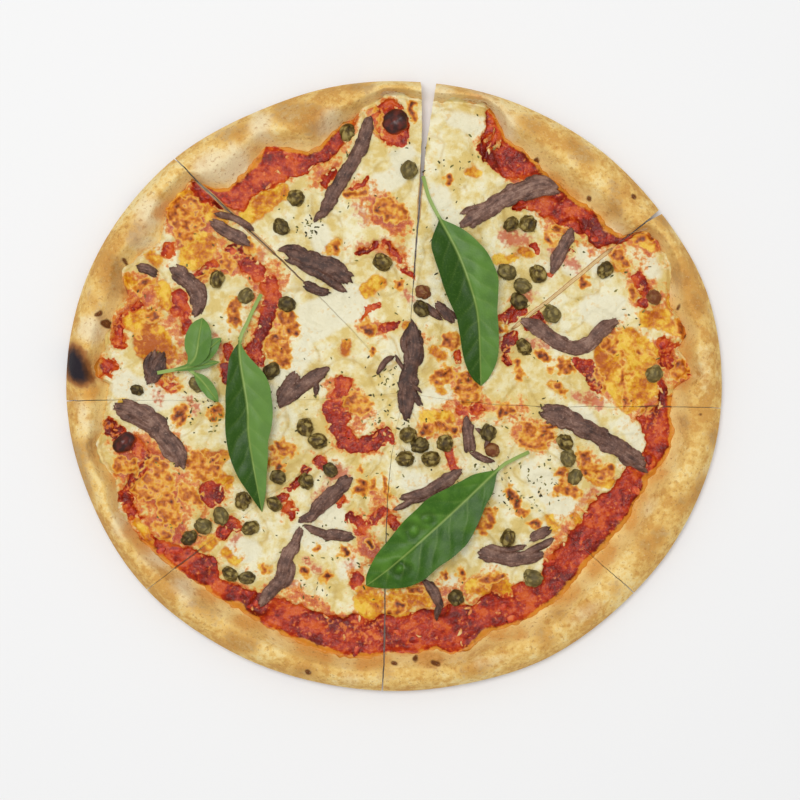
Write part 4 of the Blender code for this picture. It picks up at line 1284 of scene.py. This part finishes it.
def addFillet(number, width, points):
    bm = bmesh.new()
    draw = random.Random(number)
    thickness, smoothing = fillets["thickness"], fillets["smoothing"]
    tone = fillets["tones"][number - 1]
    pieces = [(width, points), *fillets["branches"].get(number, ())]
    for part, (partWidth, partPoints) in enumerate(pieces):
        line = smoothLine(partPoints, fillets["step"] / fine)
        level = np.maximum(levelAt(*placesAlong(line).T), fillets["lowest"])
        level = np.pad(level, smoothing // 2, mode="edge")
        level = np.convolve(level, np.ones(smoothing) / smoothing, "valid")
        level += thickness / 2 - fillets["sunk"] - 0.2 * part
        seed = 31.0 + 5 * number + part
        addStrand(bm, line, 0.9 * partWidth, thickness, level, seed, tone, fillets["sides"])
        strands = max(1, round(partWidth / fillets["strandSpacing"]))
        for strand in range(strands):
            spread = (strand + 0.5) / strands - 0.5
            skipped = round(draw.uniform(0, fillets["strandEnds"]) * len(line))
            dropped = len(line) - round(draw.uniform(0, fillets["strandEnds"]) * len(line))
            places = strandPlaces(line, partWidth, spread, seed, strand)
            raised = level + draw.uniform(0.1, 0.4) * (1 - 1.1 * abs(spread))
            addStrand(
                bm, places[skipped:dropped], fillets["strandWidth"] * partWidth,
                fillets["strandThickness"] * thickness, raised[skipped:dropped],
                seed + 0.37 * (strand + 1), tone + draw.uniform(-0.15, 0.15),
                fillets["strandSides"],
            )
    piece = addPiece(f"fillet_{number}", bm, materials["fillet"], 80)
    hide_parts(f"anchovy_{number}")


for number, (width, points) in enumerate(fillets["lines"], 1):
    addFillet(number, width, points)
print("fillets made")


def noiseAt(spot, scale, *shift):
    return noise.noise(spot * scale + Vector(shift))


# Capers: place, radius and tint, with the frame's places
capers = {
    "segments": 36, "rings": 22, "height": 0.66, "sunk": 1.1,
    "places": (
        (-23, 127, 4.2, ""), (-49, 94, 4.1, ""), (-56.5, 79.5, 3.9, "darkToneAndShade"), (7.5, 108, 4.4, "grey"),
        (58.5, 81, 3.9, ""), (67, 81, 4.2, ""), (105.5, 58, 3.8, ""), (130, 44.5, 3.6, "red"),
        (130, 6, 4.3, "grey"), (-88.5, 53.5, 4.2, ""), (-74, 45, 4.0, "grey"),
        (-53.5, 41, 4.2, "darkToneAndShade"), (-6, 62, 4.3, ""), (-61.5, 7.5, 4.4, "darkToneAndShade"),
        (-98.5, 1, 4.0, "grey"), (-128.5, -2, 3.0, "darkToneAndShade"), (13.5, 38.5, 4.3, "darkToneAndShade"),
        (14.5, 47, 3.9, "red"), (56.5, 57, 4.3, "grey"), (64, 50, 4.1, "grey"),
        (62.5, 42.5, 4.2, "darkToneAndShade"), (72, 56, 4.2, ""), (79, 36, 4.1, "grey"), (65, 19.5, 4.0, ""),
        (-44.5, -20.5, 4.2, ""), (-38, -27.5, 4.3, ""), (-44, -47.5, 3.8, ""),
        (-32, -42, 3.9, "darkToneAndShade"), (5.5, -36.5, 4.4, ""), (13, -29.5, 3.9, "darkToneAndShade"),
        (7, -24.5, 4.0, ""), (18.5, -36.5, 4.3, ""), (25.5, -28.5, 4.1, ""),
        (47, -23.5, 4.0, "darkToneAndShade"), (49, -32, 3.6, "red"), (85.5, -28, 4.0, ""),
        (87, -36, 4.1, "grey"), (90.5, -45.5, 3.9, "grey"), (57, -76, 4.0, ""),
        (69.5, -96, 4.3, "grey"), (31, -106, 4.0, "darkToneAndShade"), (-86.5, -65, 4.4, "grey"),
        (-95.5, -70, 4.2, "grey"), (-102.5, -76, 3.9, "darkToneAndShade"), (-75.5, -57, 4.1, ""),
        (-72, -71, 4.2, ""), (-60, -59, 3.9, ""), (-58, -45.5, 3.9, "darkToneAndShade"), (-82, -94, 4.0, ""),
        (-73.5, -96, 3.7, "darkToneAndShade"),
    ),
}


def addCapers():
    bm = bmesh.new()
    layers = {name: layerFor(bm, name) for name in ("ridge", "grey", "red", "darkToneAndShade")}
    places = np.array([row[:2] for row in capers["places"]])
    levels = levelAt(*places.T)
    for number, (x, y, radius, tint) in enumerate(capers["places"]):
        draw = random.Random(100 + number)
        rise = radius * capers["height"] * draw.uniform(0.92, 1.05)
        middle = Vector((x, y, levels[number] + rise - capers["sunk"]))
        turn = turned(draw.uniform(0, tau), 4)
        tilt = turned(draw.uniform(0.3, 1.2), 4, "X")
        stretch = Matrix.Diagonal((draw.uniform(0.8, 0.97), draw.uniform(0.98, 1.2), 1, 1))
        swirl, petals = draw.uniform(0, tau), draw.choice((3, 4, 5))
        darkness = 0.4 * draw.random()
        for vert in ballVerts(bm, capers["segments"], capers["rings"]):
            spot = vert.co.copy()
            around = math.atan2(spot.y, spot.x)
            # sepals fold over each other towards the bud's tip
            fold = abs(math.sin(petals / 2 * around + swirl + 1.6 * spot.z))
            fold += 0.35 * noiseAt(spot, 2.1, number, 8, 0)
            shadedCrease = softStep(1 - fold * 1.4) * (0.4 + 0.6 * max(0.0, spot.z + 0.5))
            wrinkle = abs(noiseAt(spot, 1.3, number, 0, 0))
            fineWrinkle = abs(noiseAt(spot, 3.4, number, 4, 0))
            size = 0.97 - 0.1 * shadedCrease + 0.34 * wrinkle + 0.05 * fineWrinkle
            shaped = turn @ tilt @ (stretch @ (spot * size))
            vert.co = Vector((shaped.x * radius, shaped.y * radius, shaped.z * rise)) + middle
            # painted light: raised wrinkles are painted lighter as highlights, and creases darker as
            # shade
            vert[layers["ridge"]] = 0.3 + 1.1 * wrinkle + 0.6 * fineWrinkle - 0.35 * shadedCrease
            for name in ("grey", "red", "darkToneAndShade"):
                vert[layers[name]] = float(name == tint)
            if not tint:
                vert[layers["darkToneAndShade"]] = darkness
    addPiece("capers", bm, materials["caper"], 70)


addCapers()


# Burnt blisters: place, radii, and the turn of the long side
blisters = {
    "segments": 40, "rings": 24, "height": 3.6, "raised": 0.6,
    "places": ((1.0, 132.5, 6.8, 6.0, 0.4), (-135, -28.5, 6.4, 4.4, 0.7)),
}


def addBlisters():
    bm = bmesh.new()
    foot = layerFor(bm, "foot")
    for number, (x, y, length, width, turn) in enumerate(blisters["places"]):
        middle = Vector((x, y, levelAt(x, y)[0] + blisters["raised"]))
        for vert in ballVerts(bm, blisters["segments"], blisters["rings"]):
            spot = vert.co.copy()
            size = 1 + 0.16 * noiseAt(spot, 1.7, number, 0, 0) + 0.05 * noiseAt(spot, 5, number, 0, 0)
            vert[foot] = float(softStep((0.45 - spot.z) / 0.5))
            shaped = Vector((spot.x * length, spot.y * width, spot.z * blisters["height"]))
            vert.co = turned(turn) @ shaped * size + middle
    addPiece("blisters", bm, materials["blister"], 70)


addBlisters()
print("capers made")


# Basil: half widths to the left and right of the middle line at shares of the blade, in
# millimetres, and the frame's lines. Dark and pale are each half's painted shade and painted light.
leaves = {
    "columns": 40, "step": 0.8, "thickness": 0.55, "stem": 1.8, "ground": 8.75,
    "veinSpacing": 10.5, "veinSlant": 9, "veinHalf": 0.75, "midribSunk": 0.35, "stemTint": 0.85,
    "blades": (
        {
            "node": "basil_leaf_1", "stemShare": 0.215, "rise": 6.5,
            "line": ((14.5, 105), (17.5, 94), (23, 83), (31.5, 67), (38, 50), (42, 33), (43.5, 0)),
            "shares": (0, 0.09, 0.18, 0.3, 0.42, 0.53, 0.6, 0.73, 0.83, 0.9, 0.96, 1),
            "left": (0.6, 6.2, 10.4, 13.5, 14.3, 11.2, 9.6, 9.6, 8.8, 6.8, 3.8, 0.1),
            "right": (0.6, 9.4, 11.6, 12.8, 12.8, 11.6, 10.6, 9.6, 8.4, 6.6, 3.8, 0.1),
            "darkToneAndShade": (0.25, 0.85), "paleToneAndLight": (0.4, 0.0), "fold": 0.25, "quilt": 0.25,
        },
        {
            "node": "basil_leaf_2", "stemShare": 0.24, "rise": 6.5,
            "line": ((-66.5, 46), (-72.5, 33), (-77, 19), (-73, -10), (-72, -27), (-66, -63)),
            "shares": (0, 0.08, 0.19, 0.29, 0.38, 0.5, 0.6, 0.68, 0.79, 0.88, 0.95, 1),
            "left": (0.6, 4.2, 10.6, 12.6, 12.9, 11.7, 9.4, 8.0, 5.7, 3.9, 1.8, 0.1),
            "right": (0.6, 5.0, 7.6, 9.7, 10.8, 11.4, 11.0, 10.4, 8.0, 4.6, 2.0, 0.1),
            "darkToneAndShade": (0.0, 0.8), "paleToneAndLight": (0.7, 0.0), "fold": 0.3, "quilt": 0.3,
        },
        {
            "node": "basil_leaf_3", "stemShare": 0.18, "rise": 7.0,
            "line": ((67.5, -33), (59, -37), (51.5, -42), (27, -65), (0, -89), (-14, -100)),
            "shares": (0, 0.1, 0.18, 0.27, 0.34, 0.43, 0.52, 0.6, 0.7, 0.8, 0.89, 0.96, 1),
            "left": (0.6, 6.5, 8.7, 12.3, 14.4, 16.4, 16.2, 15.6, 15.2, 13.4, 8.6, 3.6, 0.1),
            "right": (0.6, 6.2, 8.4, 10.8, 12.5, 13.6, 13.5, 12.9, 11.6, 10.0, 7.6, 4.2, 0.1),
            "darkToneAndShade": (0.55, 0.35), "paleToneAndLight": (0.0, 0.05), "fold": 0.12, "quilt": 0.45,
            # rolled up spots: place and radius
            "curls": ((9.5, -72, 5.5), (3, -91, 5.0), (17, -66, 4.0)),
        },
    ),
    "leaflets": (
        {
            "line": ((-118, 6.5), (-104, 9), (-87, 12)), "stemShare": 0.3, "rise": 1.5,
            "shares": (0, 0.3, 0.6, 0.85, 1), "left": (0.8, 1.6, 2.0, 1.4, 0.1),
            "right": (0.8, 1.8, 2.2, 1.2, 0.1),
        },
        {
            "line": ((-105, 8.6), (-99, 14), (-97, 24), (-95.5, 34)), "stemShare": 0.1, "rise": 3.0,
            "shares": (0, 0.15, 0.35, 0.55, 0.75, 0.9, 1),
            "left": (0.6, 3.6, 6.0, 6.6, 5.8, 3.6, 0.1),
            "right": (0.6, 3.6, 6.4, 6.6, 5.6, 3.4, 0.1),
        },
        {
            "line": ((-106, 8.4), (-97, 14), (-86, 24)), "stemShare": 0.15, "rise": 1.5,
            "shares": (0, 0.2, 0.45, 0.7, 0.88, 1), "left": (0.6, 2.6, 3.6, 3.4, 2.0, 0.1),
            "right": (0.6, 3.0, 4.2, 3.6, 1.8, 0.1),
        },
        {
            "line": ((-103, 9), (-96, 3), (-87.5, -8)), "stemShare": 0.2, "rise": 1.0,
            "shares": (0, 0.2, 0.45, 0.7, 0.88, 1), "left": (0.6, 2.6, 3.4, 3.0, 1.7, 0.1),
            "right": (0.6, 2.4, 3.2, 3.0, 1.8, 0.1),
        },
    ),
    "sprigLift": 4.2,
}


def bladeHalves(blade):
    # the half widths on either side, smoothed between the given ones
    halves = {}
    for side in ("left", "right"):
        places = smoothLine(list(zip(blade["shares"], blade[side])), 0.3)
        halves[side] = placesAlong(places).T
    return halves


def curlAt(blade, place, seed):
    # how far the blade is rolled up or down at its curls
    rolled = 0.0
    for curlX, curlY, radius in blade.get("curls", ()):
        away = math.hypot(place.x - curlX, 1.4 * (place.y - curlY)) / radius
        away += 0.35 * noise.noise((place.x / 4, place.y / 4, seed + curlX))
        rolled += math.cos(min(away, 2) * tau * 0.6) * max(0.0, 1 - away / 2)
    return rolled


def makeBlade(bm, blade, lift, seed):
    # one leaf as a closed thin sheet in the bmesh
    line = smoothLine(blade["line"], leaves["step"] / fine)
    last = len(line) - 1
    lengths = [0.0]
    for start, end in zip(line, line[1:]):
        lengths.append(lengths[-1] + (end - start).length)
    columns = round(leaves["columns"] * fine / 2) * 2
    darkToneAndShade, paleToneAndLight = blade.get("darkToneAndShade", (0.1, 0.0)), blade.get("paleToneAndLight", (0.75, 0.45))
    layers = {name: layerFor(bm, name) for name in ("vein", "darkToneAndShade", "paleToneAndLight")}
    made = bmesh.ops.create_grid(bm, x_segments=columns, y_segments=last, size=0.5)["verts"]
    stemShare, spacing = blade["stemShare"], leaves["veinSpacing"]
    bladeLength = lengths[-1] * (1 - stemShare)
    halves = bladeHalves(blade)
    for vert in made:
        across = 2 * vert.co.x
        number = round((vert.co.y + 0.5) * last)
        along = lengths[number] / lengths[-1]
        inBlade = (along - stemShare) / (1 - stemShare)
        half = leaves["stem"] / 2
        if inBlade > 0:
            side = "left" if across > 0 else "right"
            half = max(float(np.interp(inBlade, *halves[side])), 0.1)
        _, left = directions(line, number)
        wave = 1 + 0.035 * noise.noise((inBlade * 9, seed, float(across > 0))) * abs(across)
        place = line[number] + left * half * across * wave
        distance = abs(across) * half
        arch = blade["rise"] * max(0.0, math.sin(math.pi * along)) ** 0.7
        # side veins leave the midrib at a slant, and the blade is quilted between them
        phase = inBlade * bladeLength / spacing - distance / leaves["veinSlant"]
        phase += 0.15 * (across > 0) + 0.25 * noise.noise((place.x / 12, place.y / 12, seed))
        nearVein = abs(phase - round(phase)) * spacing
        inner = max(0.0, min(1.0, inBlade * 6)) * max(0.0, 1 - abs(across) ** 6)
        sideVein = max(0.0, 1 - nearVein / leaves["veinHalf"]) * inner * (1 - 0.7 * abs(across))
        midrib = max(0.0, 1 - distance / (1.0 - 0.6 * max(inBlade, 0)))
        quilt = math.sin(math.pi * abs(phase - math.floor(phase))) * inner
        quilt *= min(1.0, distance / 4) * blade.get("quilt", 0.2)
        cup = 0.13 * half * across**2 + 0.05 * half * math.sin(9 * along + 2 * across)
        cup += blade.get("fold", 0.1) * distance * 0.35 * (1 if across > 0 else 0.6)
        crinkle = 0.35 * noise.noise((place.x / 6, place.y / 6, seed)) * min(1.0, distance / 3)
        rolled = curlAt(blade, place, seed)
        z = leaves["ground"] + lift + arch + cup + quilt + crinkle + 0.6 * rolled
        z -= leaves["midribSunk"] * midrib * (inBlade > 0)
        vert.co = (*place, z)
        vein = min(1.0, 0.75 * midrib + 0.2 * sideVein)
        vert[layers["vein"]] = vein if inBlade > -0.02 else leaves["stemTint"]
        # painted shade and painted light: one half of the blade is darker, the other paler, and curls
        # rolled up are lighter
        tone = float(softStep(0.5 + across * 6))
        vert[layers["darkToneAndShade"]] = darkToneAndShade[1] + (darkToneAndShade[0] - darkToneAndShade[1]) * tone - 0.4 * rolled
        vert[layers["paleToneAndLight"]] = paleToneAndLight[1] + (paleToneAndLight[0] - paleToneAndLight[1]) * tone
    faces = list({face for vert in made for face in vert.link_faces})
    for vert in vertsOf(bmesh.ops.extrude_face_region(bm, geom=faces)):
        vert.co.z += leaves["thickness"]


def addLeaves():
    for number, blade in enumerate(leaves["blades"]):
        bm = bmesh.new()
        makeBlade(bm, blade, 0.0, 50.0 + number)
        piece = addPiece(f"leaf_{number + 1}", bm, materials["basil"], 60)
        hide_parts(blade["node"])
    bm = bmesh.new()
    for number, blade in enumerate(leaves["leaflets"]):
        makeBlade(bm, blade, leaves["sprigLift"] + 0.25 * number, 60.0 + number)
    piece = addPiece("sprig", bm, materials["basil"], 60)
    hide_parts("basil_sprig")


addLeaves()
print("basil made")


def scattered(count, draw, fits):
    # random places, of which those that fit are kept
    places = []
    while len(places) < count:
        x, y = draw.uniform(-150, 150), draw.uniform(-140, 140)
        if fits(x, y):
            places.append((x, y))
    return places


def isWithin(reach, margin, x, y):
    angle, share = polar(x, y)
    return share < reach(angle) - margin


# Shreds of cheese and lumps of tomato pulp on the sauce. On sauce is how far a place is sauce.
bits = {
    "seed": 11, "segments": 8, "rings": 5,
    "shreds": 150, "shredLength": (1.5, 4.5), "shredWidth": (0.8, 1.8), "shredOnSauce": (0.3, 0.95),
    "lumps": 45, "lumpSize": (1.8, 4.2), "lumpOnSauce": (0.7, 1.1), "lumpHeight": 0.16,
}


def placesOnSauce(limits, count, draw):
    # numbered random places there, and their heights
    low, high = limits

    def fits(x, y):
        sauce = sampled(toppingFields["sauce"], np.array([x]), np.array([y]))[0]
        return low < sauce < high and isWithin(toppingReach, 0.01, x, y)

    places = np.array(scattered(count, draw, fits))
    return enumerate(zip(places, toppingHeight(*places.T)))


def addBits():
    draw = random.Random(bits["seed"])
    bm = bmesh.new()
    for number, ((x, y), level) in placesOnSauce(bits["shredOnSauce"], bits["shreds"], draw):
        length, width = draw.uniform(*bits["shredLength"]), draw.uniform(*bits["shredWidth"])
        turn, bend = turned(draw.uniform(0, tau)), draw.uniform(-0.9, 0.9)
        for vert in ballVerts(bm, bits["segments"], bits["rings"], 0.5):
            spot = Vector((vert.co.x * length, vert.co.y * width, vert.co.z * 0.7 * width))
            spot.y += bend * (vert.co.x * 2) ** 2
            spot *= 1 + 0.4 * noiseAt(spot, 0.8, number, 0, 0)
            vert.co = turn @ spot + Vector((x, y, level + 0.1))
    addPiece("shreds", bm, materials["shred"], 80)
    bm = bmesh.new()
    for number, ((x, y), level) in placesOnSauce(bits["lumpOnSauce"], bits["lumps"], draw):
        size = draw.uniform(*bits["lumpSize"])
        turn = turned(draw.uniform(0, tau))
        shape = Matrix.Diagonal((1.6 * size, size, bits["lumpHeight"] * size))
        for vert in ballVerts(bm, bits["segments"], bits["rings"], 0.5):
            spot = shape @ vert.co * (1 + 0.7 * noiseAt(vert.co, 3, number, 0, 0))
            vert.co = turn @ spot + Vector((x, y, level))
    addPiece("pulp", bm, materials["pulp"], 80)


addBits()
print("shreds and pulp made")


# Herb flecks: how many lie all over the cheese, then clusters: left, top, right, bottom and count
herbs = {
    "seed": 7, "scattered": 330, "length": (0.6, 3.0), "width": (0.4, 1.2), "thickness": 0.22,
    "clusters": (
        (475, 455, 560, 512, 90), (370, 366, 412, 436, 48), (296, 212, 326, 236, 30),
        (190, 398, 222, 434, 30), (434, 160, 470, 260, 24), (600, 300, 640, 330, 8),
        (250, 370, 330, 400, 26), (270, 580, 330, 600, 16), (300, 520, 350, 560, 18),
    ),
}


def addHerbs():
    draw = random.Random(herbs["seed"])

    def fits(x, y):
        return isWithin(cheeseReach, 0.02, x, y)

    places = scattered(herbs["scattered"], draw, fits)
    for left, top, right, bottom, count in herbs["clusters"]:
        for _ in range(count):
            x, y = fromView(draw.uniform(left, right), draw.uniform(top, bottom))
            places.append((float(x), float(y)))
    places = np.array(places)
    levels, sauces = toppingHeight(*places.T), sampled(toppingFields["sauce"], *places.T)
    bm = bmesh.new()
    for (x, y), level, sauce in zip(places, levels, sauces):
        length, width = draw.uniform(*herbs["length"]), draw.uniform(*herbs["width"])
        if sauce > 0.5:
            continue
        turn = turned(draw.uniform(0, tau), 4) @ turned(draw.uniform(-0.3, 0.3), 4, "X")
        size = Matrix.Diagonal((width, length, herbs["thickness"], 1))
        shape = Matrix.Translation((x, y, level + 0.05)) @ turn @ size
        made = bmesh.ops.create_icosphere(bm, subdivisions=1, radius=0.5, matrix=shape)
        for vert in made["verts"]:
            vert.co += 0.3 * noise.noise_vector(vert.co * 1.7)
    addPiece("herbs", bm, materials["herb"], 40)


addHerbs()
print("herbs made")


# The stage: floor, light and camera

stage = {
    "floorSize": 12.0, "floor": (240, 240, 240), "world": 0.56,
    "keyPlace": (-0.2, 0.27, 1.9), "keySize": 1.0, "keyPower": 19.5,
    "cameraPlace": (0.003, -0.007, 1.121), "lens": 100.0, "sensor": 36.0,
}


def addStage():
    bm = bmesh.new()
    bmesh.ops.create_grid(bm, x_segments=1, y_segments=1, size=stage["floorSize"] / 2)
    mesh = bpy.data.meshes.new("floor")
    bm.to_mesh(mesh)
    bm.free()
    floor = bpy.data.objects.new("floor", mesh)
    bpy.context.scene.collection.objects.link(floor)
    n = Nodes("floorPaint", 0.8, 0.2)
    n.shader.inputs["Base Color"].default_value = colour(*stage["floor"])
    mesh.materials.append(n.material)

    scene = bpy.context.scene
    world = scene.world or bpy.data.worlds.new("studio")
    scene.world = world
    world.use_nodes = True
    nodes = world.node_tree.nodes
    background = nodes.get("Background") or nodes.new("ShaderNodeBackground")
    background.inputs["Color"].default_value = (1, 1, 1, 1)
    background.inputs["Strength"].default_value = stage["world"]
    light = bpy.data.lights.new("key", "AREA")
    light.shape = "DISK"
    light.size = stage["keySize"]
    light.energy = stage["keyPower"]
    lamp = bpy.data.objects.new("key", light)
    lamp.location = stage["keyPlace"]
    lamp.rotation_euler = (-Vector(stage["keyPlace"])).to_track_quat("-Z", "Y").to_euler()
    scene.collection.objects.link(lamp)

    camera = bpy.data.cameras.new("camera")
    camera.lens = stage["lens"]
    camera.sensor_width = stage["sensor"]
    camera.clip_start = 0.05
    eye = bpy.data.objects.new("camera", camera)
    eye.location = stage["cameraPlace"]
    scene.collection.objects.link(eye)
    scene.camera = eye
    scene.view_settings.view_transform = "Standard"


addStage()
print("stage made")
